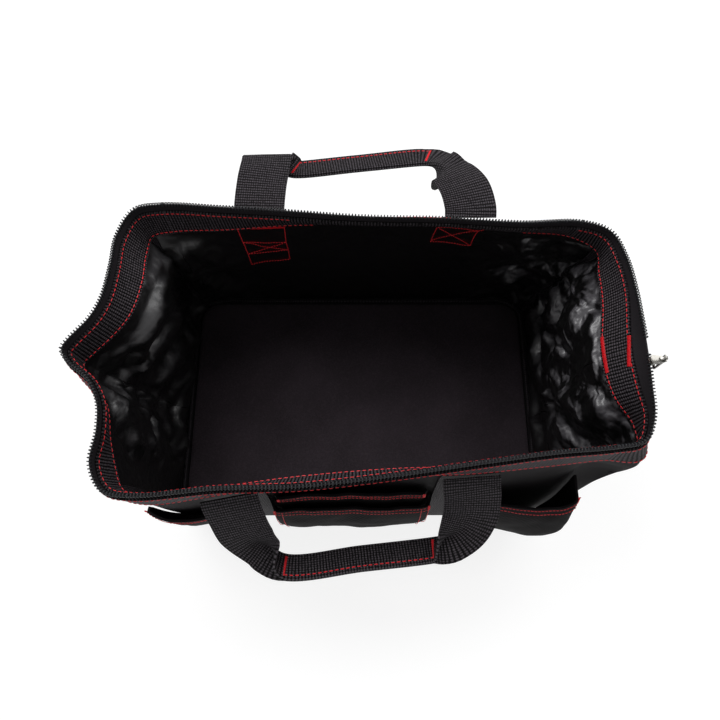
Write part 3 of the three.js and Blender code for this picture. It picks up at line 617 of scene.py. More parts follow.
def coated_reverse(name, dark, light):
    """A PVC coating: near black and half shiny, with small soft folds bumped at the ends, whose
    upward flanks there are painted pale as painted highlights for the lamps' glints.
    """
    material, tree = new_material(name)
    where = add(tree, "TexCoord").outputs["Object"]
    warp = add(tree, "TexNoise", None, {"Vector": where, "Scale": 1 / (34 * MM), "Detail": 3.0})
    bent = add(
        tree, "VectorMath", SCALED,
        {0: warp.outputs["Color"], 1: (0.03, 0.03, 0.03), 2: where},
    )
    folds = add(
        tree, "TexNoise", None,
        {"Vector": bent.outputs[0], "Scale": 1 / (36 * MM), "Detail": 1.5, "Distortion": 0.5},
    ).outputs[0]
    parts = add(tree, "SeparateXYZ", None, {0: where})
    # Where the folds are bumped and carry painted highlights: fully at the right end, at most 0.35
    # at the left end, and faint low down.
    ranges = (
        (0, {"From Min": 0.07, "From Max": 0.14, "To Min": 0.03}),
        (0, {"From Min": -0.1, "From Max": -0.17, "To Max": 0.35}),
        (2, {"From Min": 0.03, "From Max": 0.12, "To Min": 0.15}),
    )
    right, left, high = (
        add(tree, "MapRange", None, {"Value": parts.outputs[axis], **limits}).outputs[0]
        for axis, limits in ranges
    )
    ends = add(tree, "Math", LARGER, {0: right, 1: left}).outputs[0]
    ends = add(tree, "Math", TIMES, {0: ends, 1: high}).outputs[0]
    folded = add(tree, "Bump", None, {"Strength": ends, "Distance": 24 * MM, "Height": folds})
    small = spots_of(tree, 6, 3.0)
    crumpled = add(
        tree, "Bump", None,
        {"Strength": 0.2, "Distance": 1.0 * MM, "Height": small, "Normal": folded.outputs[0]},
    )
    # The bumped normal's upward part: fold flanks that face up get a painted highlight.
    upward = add(tree, "SeparateXYZ", None, {0: crumpled.outputs[0]}).outputs[2]
    glint_flanks = add(
        tree, "MapRange", {"interpolation_type": "SMOOTHSTEP"},
        {"Value": upward, "From Min": 0.25, "From Max": 0.8},
    ).outputs[0]
    # Painted highlight: the light tone laid on the upward flanks at the ends, standing for glints
    # of the lamps.
    painted_glint = add(tree, "Math", TIMES, {0: glint_flanks, 1: ends}).outputs[0]
    rough = add(tree, "Math", SCALED, {0: small, 1: 0.16, 2: 0.34})
    finish_with(
        tree, painted_glint, dark, light,
        {
            "Roughness": rough.outputs[0],
            "Specular IOR Level": 1.0,
            "Normal": crumpled.outputs[0],
        },
    )
    return material


def twisted_thread(name, dark, light):
    """Bonded polyester sewing thread: two tones of red twisted together, a little shiny."""
    material, tree = new_material(name)
    twist = spots_of(tree, 0.8, 2.0)
    bump = add(tree, "Bump", None, {"Strength": 0.4, "Distance": 0.1 * MM, "Height": twist})
    finish_with(
        tree, twist, dark, light,
        {
            "Roughness": 0.5,
            "Normal": bump.outputs[0],
        },
    )
    return material


def drawn(name, dark, light):
    """Drawn nylon: smooth and half shiny, with fine marks along it."""
    material, tree = new_material(name)
    marks = spots_of(tree, 0.9, 2.0)
    rough = add(tree, "Math", SCALED, {0: marks, 1: 0.14, 2: 0.4})
    bump = add(tree, "Bump", None, {"Strength": 0.15, "Distance": 0.1 * MM, "Height": marks})
    finish_with(
        tree, marks, dark, light,
        {
            "Roughness": rough.outputs[0],
            "Specular IOR Level": 0.25,
            "Normal": bump.outputs[0],
        },
    )
    return material


def plated(name, dark, light):
    """Nickel plate on a zinc casting: bright, with soft scratches from handling."""
    material, tree = new_material(name)
    marks = spots_of(tree, 2.4, 5.0)
    rough = add(tree, "Math", SCALED, {0: marks, 1: 0.22, 2: 0.14})
    bump = add(tree, "Bump", None, {"Strength": 0.1, "Distance": 0.1 * MM, "Height": marks})
    finish_with(
        tree, marks, dark, light,
        {
            "Metallic": 1.0,
            "Roughness": rough.outputs[0],
            "Normal": bump.outputs[0],
        },
    )
    return material


def grained(name, dark, light):
    """Embossed vinyl over the stiffener board: a pebbled grain, matt and a little dusty."""
    material, tree = new_material(name)
    where = add(tree, "TexCoord").outputs["Object"]
    pebbles = add(
        tree, "TexVoronoi", None, {"Vector": where, "Scale": 1 / (1.5 * MM)}
    ).outputs["Distance"]
    dust = spots_of(tree, 60, 6.0)
    tone = add(tree, "Math", CLAMPED, {0: dust, 1: 0.8, 2: -0.1}).outputs[0]
    tone = add(tree, "Math", CLAMPED, {0: pebbles, 1: 0.35, 2: tone}).outputs[0]
    bump = add(tree, "Bump", None, {"Strength": 0.5, "Distance": 0.3 * MM, "Height": pebbles})
    finish_with(
        tree, tone, dark, light,
        {
            "Roughness": 0.85,
            "Specular IOR Level": 0.2,
            "Normal": bump.outputs[0],
        },
    )
    return material


def studio_floor(name, colour):
    """A white sweep that shows white, with the bag's shadow on it, and lights as plain paper."""
    material, tree = new_material(name)
    path = add(tree, "LightPath")
    seen = add(tree, "Math", LARGER,
               {0: path.outputs["Is Camera Ray"], 1: path.outputs["Is Glossy Ray"]})
    seen = add(tree, "Math", LARGER, {0: seen.outputs[0], 1: path.outputs["Is Transmission Ray"]})
    paper = add(tree, "BsdfDiffuse", None, {"Color": colour})
    shadowed = add(tree, "BsdfDiffuse", None, {"Color": (0.3, 0.3, 0.3, 1)})
    glow = add(tree, "Emission", None, {"Color": (1, 1, 1, 1), "Strength": 0.8})
    white = add(tree, "AddShader", None, {0: shadowed.outputs[0], 1: glow.outputs[0]})
    mix = add(tree, "MixShader", None,
              {0: seen.outputs[0], 1: paper.outputs[0], 2: white.outputs[0]})
    add(tree, "OutputMaterial", None, {"Surface": mix.outputs[0]})
    return material


FINISHES = {}


def make_finishes(sizes):
    """Each material, from its dark tone in sRGB hex and the bag's own light tone. Threads and
    ribs, in millimetres, are about twice as coarse as real ones, which wouldn't show."""
    FINISHES.update(
        oxford=woven("oxford_polyester", "#060506", sizes.cloth, 1.2, 0.5, 0.8),
        pocket=woven("basket_polyester", "#030203", sizes.pocket_cloth, 2.1, 0.9, 0.85),
        tape=woven("zip_tape_twill", "#181618", sizes.zip_tape, 0.9, 0.3, 0.75),
        binding=ribbed("grosgrain_binding", "#0c0a0c", sizes.binding, 1.8, 0.8, 0.5),
        band=ribbed("mouth_webbing", "#040304", sizes.band_webbing, 2.4, 1.0, 0.9),
        strap=ribbed("handle_webbing", "#040304", sizes.strap_webbing, 2.2, 0.9, 0.9),
        # The lining's light tone is the colour of its painted highlights.
        coated=coated_reverse("pvc_coated_reverse", "#030203", sizes.lining_glint),
        thread=twisted_thread("red_polyester_thread", "#c00c18", sizes.thread_colour),
        coil=drawn("nylon_coil", "#0c0d0e", sizes.coil),
        nickel=plated("nickel_plated_zinc", "#7c7a76", sizes.nickel),
        board=grained("embossed_vinyl", "#150f13", sizes.board),
    )


# Stitching


def stitch_shape(length, thickness):
    """One stitch along X: a round thread that dips into the cloth at both ends."""
    bpy.ops.object.select_all(action="DESELECT")
    bpy.ops.mesh.primitive_cylinder_add(
        vertices=6, radius=0.5 * MM, depth=MM, end_fill_type="TRIFAN", rotation=(0, math.pi / 2, 0)
    )
    shape = bpy.context.view_layer.objects.active
    bpy.ops.object.transform_apply(location=False, rotation=True, scale=False)
    bpy.ops.object.mode_set(mode="EDIT")
    for place in (-0.28, 0.28):
        bpy.ops.mesh.select_all(action="SELECT")
        bpy.ops.mesh.bisect(plane_co=(place * MM, 0, 0), plane_no=(1, 0, 0))
    bpy.ops.object.mode_set(mode="OBJECT")
    co = vertices(shape)
    end = np.abs(co[:, 0]) > 0.45
    co[end, 1:] *= 0.5
    co[end, 2] -= 0.35
    co = co * np.array([length, thickness, thickness])
    faces = [list(p.vertices) for p in shape.data.polygons]
    bpy.data.objects.remove(shape)
    return co, faces


def copies(name, shape, places, alongs, ups):
    """One mesh of many copies of a shape, each with X along its run and Z along the normal."""
    co, faces = shape
    acrosses = unit(np.cross(ups, alongs))
    ups = np.cross(alongs, acrosses)
    points = places[:, None, :]
    for k, axis in enumerate((alongs, acrosses, ups)):
        points = points + co[None, :, k : k + 1] * axis[:, None, :]
    count = len(co)
    mesh = bpy.data.meshes.new(name)
    all_faces = [[v + n * count for v in f] for n in range(len(places)) for f in faces]
    mesh.from_pydata((points.reshape(-1, 3) * MM).tolist(), [], all_faces)
    piece = bpy.data.objects.new(name, mesh)
    bpy.context.scene.collection.objects.link(piece)
    return piece


def spaced(points, normals, pitch):
    """Places, directions and normals every pitch or so along a line of points."""
    run = np.concatenate([[0], np.cumsum(np.linalg.norm(np.diff(points, axis=0), axis=-1))])
    count = max(1, int(round(run[-1] / pitch)))
    middles = (np.arange(count) + 0.5) * run[-1] / count

    def at(values, where):
        return np.stack([np.interp(where, run, values[:, k]) for k in range(3)], 1)

    alongs = unit(at(points, middles + pitch * 0.3) - at(points, middles - pitch * 0.3))
    return at(points, middles), alongs, unit(at(normals, middles))


# Points on a sewn row for each upright line that it passes
SPOTS_PER_LINE = 14


def wall_line(spots, out, inside=False, creased=False):
    """A line over the wall through spots of u and drop, standing out from its inner face."""
    spots = np.array(spots, float)
    parts = []
    for a, b in zip(spots[:-1], spots[1:]):
        count = max(2, int(abs(b[0] - a[0]) * SPOTS_PER_LINE + abs(b[1] - a[1]) / 3) + 2)
        parts.append(a + (b - a) * np.linspace(0, 1, count)[:, None])
    path = np.concatenate(parts)
    path = path[np.append(True, np.linalg.norm(np.diff(path, axis=0), axis=1) > 1e-6)]
    points, normals = WALL.at(path[:, 0], path[:, 1], out, creased)
    return points, -normals if inside else normals


def sew(name, runs, follow, pitch=None, satin=0, weight=1.0):
    """Red stitching along each run of points and normals, as one piece. Satin stitches lie
    across the run, close together and that many millimetres long, as in a bartack. Weight is
    the thread's thickness as a share of the bag's usual one."""
    sizes = bpy.context.scene.tool_bag
    pitch = pitch or sizes.stitch_pitch / MM
    shape = stitch_shape(satin or pitch * 0.74, weight * sizes.thread / MM)
    laid = [spaced(points, normals, pitch) for points, normals in runs]
    places, alongs, ups = (np.concatenate([run[k] for run in laid]) for k in range(3))
    if satin:
        alongs = unit(np.cross(ups, alongs))
    return dress(copies(name, shape, places + ups * 0.05, alongs, ups), "thread", follow)


# Wall, bands and zip

PANEL_TUCK = TAPE_TUCK + SEAM_GAP
WALL_CELL = 2.6
BAND_CELL = 3
TAPE_TOP = 2.5
TAPE_WIDTH = 16
# How much of the mouth's edge the slider takes up on either side of its middle
SLIDER_ROOM = 5.35
# How far below the mouth the length of a stretch of wall is taken
MIDDLE_DROP = 120


def wall_lay(start, end, top, bottom, out, creased=False):
    """Lays a grid between two upright lines: s along the wall, t from bottom up to top."""

    first, last = WALL.rim_at(start), WALL.rim_at(end)

    def lay(s, t):
        u = WALL.u_at_rim(first + (last - first) * s)
        low, high = bottom(u), top(u)
        return WALL.at(u, low + (high - low) * t, out, creased)[0]

    return lay


def stretch_length(start, end, drop=0.0):
    us = np.linspace(start, end, 80)
    points = WALL.at(us, drop)[0]
    return float(np.linalg.norm(np.diff(points, axis=0), axis=1).sum())


def columns_in(length, cell):
    return max(2, int(round(length / cell)))


class BagPiece(bpy.types.Operator):
    """One step of the bag, which its make method carries out"""

    bl_options = {"REGISTER"}

    def execute(self, context):
        self.make(context.scene.tool_bag)
        return {"FINISHED"}


class BAG_OT_walls(BagPiece):
    """Makes the cloth walls, woven outside and coated inside, in six stretches"""

    bl_idname = "tool_bag.walls"
    bl_label = "Walls"

    def make(self, sizes):
        for stretch, (start, end, side) in STRETCHES.items():
            length = stretch_length(start, end, MIDDLE_DROP)
            height = float(np.mean(WALL.foot_drop(np.linspace(start, end, 9))))
            lay = wall_lay(
                start, end, lambda u: band_top(u) + PANEL_TUCK, WALL.foot_drop, CLOTH, True
            )
            piece = grid_piece(
                f"{stretch}_cloth", columns_in(length, WALL_CELL), columns_in(height, WALL_CELL),
                lay, (length, height),
            )
            wear(piece, "oxford coated")
            thicken(piece, CLOTH, lined=True)
            dress(piece, None, follow_of(stretch), [f"{side}_panel"])


class BAG_OT_bands(BagPiece):
    """Makes the two webbing bands that hold the zip's tape, one inside and one outside"""

    bl_idname = "tool_bag.bands"
    bl_label = "Bands"

    def make(self, sizes):
        width = sizes.band_width / MM
        faces = {"inner": -SEAM_GAP, "outer": CLOTH + SEAM_GAP + WEBBING}
        for stretch, (start, end, side) in STRETCHES.items():
            length = stretch_length(start, end)
            for face, out in faces.items():
                lay = wall_lay(start, end, band_top, lambda u: band_top(u) + width, out)
                piece = grid_piece(
                    f"{stretch}_{face}_band", columns_in(length, BAND_CELL), 8, lay,
                    (length, width),
                )
                thicken(piece, WEBBING)
                dress(piece, "band", follow_of(stretch), [f"{side}_{face}_band"])


class BAG_OT_zip(BagPiece):
    """Makes the zip's tape and its coil of nylon teeth all round the mouth"""

    bl_idname = "tool_bag.zip"
    bl_label = "Zip"

    def make(self, sizes):
        for stretch, (start, end, side) in STRETCHES.items():
            node = "left" if side == "left_end" else stretch
            length = stretch_length(start, end)
            lay = wall_lay(
                start, end, lambda u: 0 * u + TAPE_TOP, lambda u: band_top(u) + TAPE_TUCK,
                (CLOTH + TAPE_THICKNESS) / 2,
            )
            piece = grid_piece(f"{stretch}_zip_tape_cloth", columns_in(length, BAND_CELL), 6,
                               lay, (length, TAPE_WIDTH))
            thicken(piece, TAPE_THICKNESS)
            stands_for = [f"{node}_zip_tape"]
            if stretch == "right_front":
                stands_for.append("zip_end_gusset")
            dress(piece, "tape", follow_of(stretch), stands_for)
            if stretch == "right_front":
                end = WALL.u_at_rim(WALL.rim_at(end) - SLIDER_ROOM)
            if stretch == "right_rear":
                start = WALL.u_at_rim(WALL.rim_at(start) + SLIDER_ROOM)
            runs = np.arange(WALL.rim_at(start), WALL.rim_at(end), sizes.tooth_pitch / MM)
            us = WALL.u_at_rim(runs)
            teeth = copies(f"{stretch}_zip_teeth", tooth_shape(), *tooth_places(us))
            dress(teeth, "coil", follow_of(stretch), [f"{node}_zip_coil"], angle=60)


TOOTH_RADIUS = 0.44
# The tooth's bar goes round this share of a turn, on this radius, and leans along the zip.
TOOTH_TURN = 0.62
TOOTH_REACH = 1.05
TOOTH_LEAN = 0.45
# How fast its legs run down where the turn is past this angle.
LEG_START = 1.5
LEG_SLOPE = 3.4


def tooth_shape():
    """One turn of the coil: a bent nylon bar over the tape's edge. X along the zip, Z up."""
    bpy.ops.object.select_all(action="DESELECT")
    bpy.ops.mesh.primitive_cylinder_add(vertices=6, radius=TOOTH_RADIUS * MM, depth=MM,
                                        end_fill_type="TRIFAN")
    shape = bpy.context.view_layer.objects.active
    bpy.ops.object.mode_set(mode="EDIT")
    for place in (-0.36, -0.18, 0, 0.18, 0.36):
        bpy.ops.mesh.select_all(action="SELECT")
        bpy.ops.mesh.bisect(plane_co=(0, 0, place * MM), plane_no=(0, 0, 1))
    bpy.ops.object.mode_set(mode="OBJECT")
    co = vertices(shape)
    turn = co[:, 2] * 2 * math.pi * TOOTH_TURN
    reach = TOOTH_REACH + co[:, 1]
    legs = np.maximum(np.abs(turn) - LEG_START, 0) * LEG_SLOPE
    bent = np.stack(
        [co[:, 0] + TOOTH_LEAN * co[:, 2], reach * np.sin(turn), reach * np.cos(turn) - legs], 1
    )
    faces = [list(p.vertices) for p in shape.data.polygons]
    bpy.data.objects.remove(shape)
    return bent, faces


# The teeth's middles sit this far below the mouth's edge.
TOOTH_DROP = 1.6


def tooth_places(us):
    """Where each tooth sits: its head at the mouth's edge, its legs down either side."""
    places, _ = WALL.at(us, TOOTH_DROP, CLOTH / 2)
    heads, _ = WALL.at(us, -1, CLOTH / 2)
    nexts, _ = WALL.at(us + 0.01, TOOTH_DROP, CLOTH / 2)
    ups = unit(heads - places)
    return places, unit(nexts - places), ups


CORD_RADIUS = 1.7
CORD_INSET = 4.0
CORD_LENGTH = 1100
CORD_COLUMNS, CORD_ROWS = 420, 8
PLATE_COLUMNS, PLATE_ROWS = 60, 40
PLATE_ROUND = 0.6


class BAG_OT_floor(BagPiece):
    """Makes the floor, its stiffener board and the binding over the seam round it"""

    bl_idname = "tool_bag.floor"
    bl_label = "Floor"

    def make(self, sizes):
        floor_plate("floor_cloth", -CLOTH, FLOOR_THICKNESS, FLOOR_THICKNESS, "oxford",
                    "floor_panel")
        top = FLOOR_THICKNESS + SEAM_GAP + BOARD_THICKNESS
        floor_plate("stiffener_board", BOARD_INSET, top, BOARD_THICKNESS, "board", "base_board")

        def lay(s, t):
            u = s * LINES
            foot, normal = WALL.at(u, WALL.foot_drop(u))
            normal[:, 2] = 0
            normal = unit(normal)
            angle = -2 * math.pi * t
            middle = foot - normal * CORD_INSET
            middle[:, 2] = foot[:, 2] + CORD_RADIUS
            ring = normal * (CORD_RADIUS * np.cos(angle))[:, None]
            ring[:, 2] = CORD_RADIUS * np.sin(angle)
            return middle + ring

        piece = grid_piece("floor_seam_cord", CORD_COLUMNS, CORD_ROWS, lay, (CORD_LENGTH, 10),
                           closed=True)
        dress(piece, "binding", WITH_BASE, ["floor_seam_binding"])


def floor_plate(name, inset, top, thickness, finish, node):
    """A plate across the floor with rounded edges, its edge drawn in from the wall's foot."""

    def lay(s, t):
        a, b = 2 * s - 1, 2 * t - 1
        ring = np.maximum(np.maximum(np.abs(a), np.abs(b)), 1e-6)
        edge = np.array([floor_edge(x, y, inset) for x, y in zip(a / ring, b / ring)])
        points = edge * ring[:, None]
        points[:, 2] = top
        return points

    piece = grid_piece(name, PLATE_COLUMNS, PLATE_ROWS, lay, (FLOOR_LENGTH, FLOOR_DEPTH))
    thicken(piece, thickness)
    modify(piece, "BEVEL", width=PLATE_ROUND * MM, segments=2, limit_method="ANGLE")
    dress(piece, finish, WITH_BASE, [node])


BINDING_WIDTH = 9
BINDING_THICKNESS = 1.2
# How far above the wall's foot the bindings end
BINDING_FOOT = 11
# How much shorter than the wall they are
BINDING_SHORT = 50
SEAMS = {
    "front_left": (6, "left_front"),
    "front_right": (14, "right_front"),
    "rear_right": (21, "right_rear"),
    "rear_left": (29, "left_rear"),
}


class BAG_OT_seam_tapes(BagPiece):
    """Makes the bindings over the four upright corner seams inside the bag"""

    bl_idname = "tool_bag.seam_tapes"
    bl_label = "Corner bindings"

    def make(self, sizes):
        half = BINDING_WIDTH / 2
        for corner, (line, stretch) in SEAMS.items():
            run = WALL.rim_at(line)
            start, end = (float(WALL.u_at_rim(run + side)) for side in (-half, half))
            if end < start:
                end += LINES
            lay = wall_lay(
                start, end, lambda u: band_top(u) + BAND_WIDTH + SEAM_GAP,
                lambda u: WALL.foot_drop(u) - BINDING_FOOT, -LAY_GAP, True,
            )
            height = float(WALL.foot_drop(line)) - BINDING_SHORT
            piece = grid_piece(f"{corner}_seam_binding", 5, columns_in(height, 4), lay,
                               (BINDING_WIDTH, height))
            thicken(piece, BINDING_THICKNESS)
            dress(piece, "binding", follow_of(stretch), [f"{corner}_seam_tape"])


# Straps, handles and pockets

ON_PANEL = CLOTH + LAY_GAP
FOLD_OUT = CLOTH + SEAM_GAP + WEBBING + WEBBING / 2
STRAPS = {"front": FRONT_STRAPS, "rear": REAR_STRAPS}
STRAP_COLUMNS, STRAP_ROWS = 14, 80


def strap_edges(side, x):
    start, end, _ = STRETCHES[side]
    return sorted(WALL.at_x(start, end, x + half) for half in (-STRAP_WIDTH / 2, STRAP_WIDTH / 2))


def strap_top(u):
    return band_top(u) + BAND_WIDTH + SEAM_GAP


def fold_point(side, x):
    """The middle of the webbing where the free handle folds out over its strap's top edge."""
    start, end, _ = STRETCHES[side]
    u = WALL.at_x(start, end, x)
    return WALL.at(u, strap_top(u), FOLD_OUT + FOLD_GAP[side])[0]


class BAG_OT_straps(BagPiece):
    """Makes the four straps that are sewn down the outside of the front and the rear"""

    bl_idname = "tool_bag.straps"
    bl_label = "Sewn straps"

    def make(self, sizes):
        for side, places in STRAPS.items():
            for x, hand in zip(places, ("left", "right")):
                start, end = strap_edges(side, x)
                us = np.linspace(start, end, 15)
                feet = [WALL.drop_at(u, STRAP_FOOT) for u in us]
                lay = wall_lay(start, end, strap_top, lambda u: np.interp(u, us, feet),
                               ON_PANEL + WEBBING, True)
                length = float(np.mean(feet)) - strap_top(start)
                piece = grid_piece(f"{side}_strap_{hand}_webbing", STRAP_COLUMNS, STRAP_ROWS, lay,
                                   (STRAP_WIDTH, length), turned=True)
                thicken(piece, WEBBING)
                dress(piece, "strap", follow_of(side), [f"{side}_strap_{hand}"])


# Stations of a handle: offset from its left or right fold, or a place for the grip, then the
# way its width lies, and how far it is folded in half along its length.
def grip(out, height, skew, across):
    """The two ends and the middle of a grip, folded double."""
    shares = (-1, 0, 1)
    return [("grip", (GRIP_HALF_LENGTH * k, out + skew * k, height), across, 1) for k in shares]


FRONT_HANDLE = [
    ("left", (0, 0, 0), "fold", 0),
    ("left", (1, -6, -5), "fold", 0),
    ("left", (3, -14, -14), (1, 0.05, 0), 0),
    ("left", (8, -26, -30), (0.97, 0.15, 0.1), 0.03),
    ("left", (18, -31, -43), (0.75, 0.35, 0.5), 0.3),
    *grip(-150, 147, 6, (0, 0.45, 0.89)),
    ("right", (-11, -35, -43), (-0.7, 0.4, 0.55), 0.3),
    ("right", (-1, -27, -31), (-0.97, 0.12, 0.1), 0.03),
    ("right", (1, -14, -15), (-1, 0, 0), 0),
    ("right", (0, -6, -5), "back", 0),
    ("right", (0, 0, 0), "back", 0),
]
REAR_HANDLE = [
    ("left", (0, 0, 0), "fold", 0),
    ("left", (0, 10, 3), "fold", 0),
    ("left", (1, 31, 4), (1, 0, 0), 0),
    ("left", (3, 51, 3), (1, 0, 0), 0),
    ("left", (3, 61, -1), (1, 0, 0), 0),
    ("left", (5, 57, -9), (1, 0, -0.1), 0.3),
    ("left", (16, 50, -12), (0.6, -0.3, -0.7), 0.9),
    *grip(148, 190, 6, (0, -0.31, -0.95)),
    ("right", (-23, 52, -4), (-0.6, -0.6, -0.5), 0.4),
    ("right", (-13, 43, 0), (-1, 0.1, 0), 0.03),
    ("right", (-4, 26, 3), (-1, 0, 0), 0),
    ("right", (0, 8, 2), "back", 0),
    ("right", (0, 0, 0), "back", 0),
]


# The rear handle's webbing lies flat up to this station and is folded under itself there.
FLAT_END = {"rear": 4}
FOLD_UNDER = 3.2
# How much of the webbing's middle bends round where it is folded in half
FOLD_BEND = 1.75
HANDLE_CELL = 2.5
HANDLE_ROWS = 30


class Handle:
    """The webbing of a handle, swept through its stations and folded in half at the grip."""

    def __init__(self, side, stations):
        self.flat_end = FLAT_END.get(side)
        left, right = (fold_point(side, x) for x in STRAPS[side])
        fold_line = unit(right - left)
        level = unit(np.cross([0, 0, 1], fold_line))
        starts = {"left": left, "right": right}
        places, acrosses = [], []
        for start, (x, y, z), across, _ in stations:
            if start == "grip":
                places.append(np.array([x, y, z], float))
            else:
                places.append(starts[start] + fold_line * x + level * y + np.array([0, 0, z]))
            known = {"fold": fold_line, "back": -fold_line}
            acrosses.append(known[across] if isinstance(across, str) else unit(np.array(across)))
        self.places, self.acrosses = np.array(places), np.array(acrosses)
        self.folds = np.array([station[3] for station in stations], float)
        self.ts = np.linspace(0, 1, 900)
        path = catmull_rom(self.places, self.ts)
        self.run = np.concatenate([[0], np.cumsum(np.linalg.norm(np.diff(path, axis=0), axis=1))])
        self.length = self.run[-1]

    def tucked(self, points, share):
        """Keeps the webbing past a flat end below that end, where it folds down to the grip."""
        if self.flat_end is None:
            return points
        edge = self.places[self.flat_end]
        t = np.interp(share * self.length, self.run, self.ts)
        first = self.flat_end / (len(self.places) - 1)
        under = (t > first + 0.03) & (points[..., 0] < edge[0] + STRAP_WIDTH / 2) & (t < 0.5)
        room = np.array([0, 1, FOLD_UNDER])
        low = np.minimum(points, np.array([np.inf, edge[1], edge[2]]) - room)
        return np.where(under[..., None], low, points)

    def at(self, share, width):
        """Points at shares of the length and distances from the middle line, and normals."""
        share, width = np.broadcast_arrays(np.asarray(share, float), np.asarray(width, float))
        t = np.interp(share * self.length, self.run, self.ts)
        middle = catmull_rom(self.places, t)
        ahead = catmull_rom(self.places, np.minimum(t + 1e-4, 1))
        behind = catmull_rom(self.places, np.maximum(t - 1e-4, 0))
        along = unit(ahead - behind)
        across = catmull_rom(self.acrosses, t)
        across = unit(across - along * np.sum(across * along, -1, keepdims=True))
        opened = np.cross(along, across)
        stations = np.linspace(0, 1, len(self.folds))
        fold = np.clip(np.interp(t, stations, self.folds), 0, 1)
        lean = fold * math.pi / 2
        away = np.abs(width)
        sign = np.sign(width)
        turned = np.minimum(away, FOLD_BEND) / FOLD_BEND * lean
        small = np.maximum(lean, 1e-3)
        sideways = np.where(lean > 1e-3, np.sin(turned) / small * FOLD_BEND,
                            np.minimum(away, FOLD_BEND))
        forward = np.where(lean > 1e-3, (1 - np.cos(turned)) / small * FOLD_BEND, 0)
        rest = np.maximum(away - FOLD_BEND, 0)
        sideways = sideways + rest * np.cos(lean)
        forward = forward + rest * np.sin(lean)
        points = middle + across * (sign * sideways)[..., None] + opened * forward[..., None]
        points = self.tucked(points, share)
        normal = opened * np.cos(turned)[..., None] - across * (sign * np.sin(turned))[..., None]
        return points, normal


class BAG_OT_handles(BagPiece):
    """Makes the two carrying handles, folded double along their grips"""

    bl_idname = "tool_bag.handles"
    bl_label = "Handles"

    def make(self, sizes):
        for side, stations in (("front", FRONT_HANDLE), ("rear", REAR_HANDLE)):
            handle = Handle(side, stations)
            half = STRAP_WIDTH / 2

            def lay(s, t):
                return handle.at(s, (2 * t - 1) * half)[0]

            piece = grid_piece(
                f"{side}_handle_webbing", columns_in(handle.length, HANDLE_CELL), HANDLE_ROWS,
                lay, (handle.length, STRAP_WIDTH),
            )
            thicken(piece, WEBBING, offset=0)
            dress(piece, "strap", along_with(f"{side}_handle"), [f"{side}_handle"])


def pocket_span(left, right):
    return left + SEAM_GAP, right - SEAM_GAP


HALF_STRAP = STRAP_WIDTH / 2
FRONT_BETWEEN = pocket_span(FRONT_STRAPS[0] + HALF_STRAP, FRONT_STRAPS[1] - HALF_STRAP)
REAR_BETWEEN = pocket_span(REAR_STRAPS[0] + HALF_STRAP, REAR_STRAPS[1] - HALF_STRAP)
FRONT_LEFT = pocket_span(-POCKET_OUTER_END, FRONT_STRAPS[0] - HALF_STRAP)
FRONT_RIGHT = pocket_span(FRONT_STRAPS[1] + HALF_STRAP, POCKET_OUTER_END + 12)
REAR_LEFT = pocket_span(-POCKET_OUTER_END, REAR_STRAPS[0] - HALF_STRAP)
REAR_RIGHT = pocket_span(REAR_STRAPS[1] + HALF_STRAP, POCKET_OUTER_END)
BEHIND = (FRONT_BETWEEN[0] + 5, FRONT_BETWEEN[1] - 5)
# Each pocket: its ends in x, the heights of its mouth and foot, how far its middle and its mouth
# stand off the wall, and how much more its right end does so than its left.
POCKETS = {
    "front_pocket_left": ("front", FRONT_LEFT, POCKET_HEIGHT, POCKET_FOOT, 6, 7, 0.25),
    "front_pocket_centre": ("front", FRONT_BETWEEN, POCKET_HEIGHT, POCKET_FOOT, 16, 13, 0),
    "front_pocket_centre_back": ("front", BEHIND, 150, 50, 6, 6, 0),
    "front_pocket_right": ("front", FRONT_RIGHT, POCKET_HEIGHT, POCKET_FOOT, 25, 18, 0.8),
    "rear_pocket_left": ("rear", REAR_LEFT, POCKET_HEIGHT, POCKET_FOOT, 13, 9, 0),
    "rear_pocket_centre": ("rear", REAR_BETWEEN, POCKET_HEIGHT, POCKET_FOOT, 14, 9, 0),
    "rear_pocket_right": ("rear", REAR_RIGHT, POCKET_HEIGHT, POCKET_FOOT, 13, 9, 0),
}


# How much wider a pocket's cloth is cut than its place on the wall
GATHER = 1.2
POCKET_CELL = 2.5
# Size of the soft lumps in a pocket's cloth, and how far they stand out
POCKET_LUMP = 26
POCKET_LUMP_DEPTH = 1.6


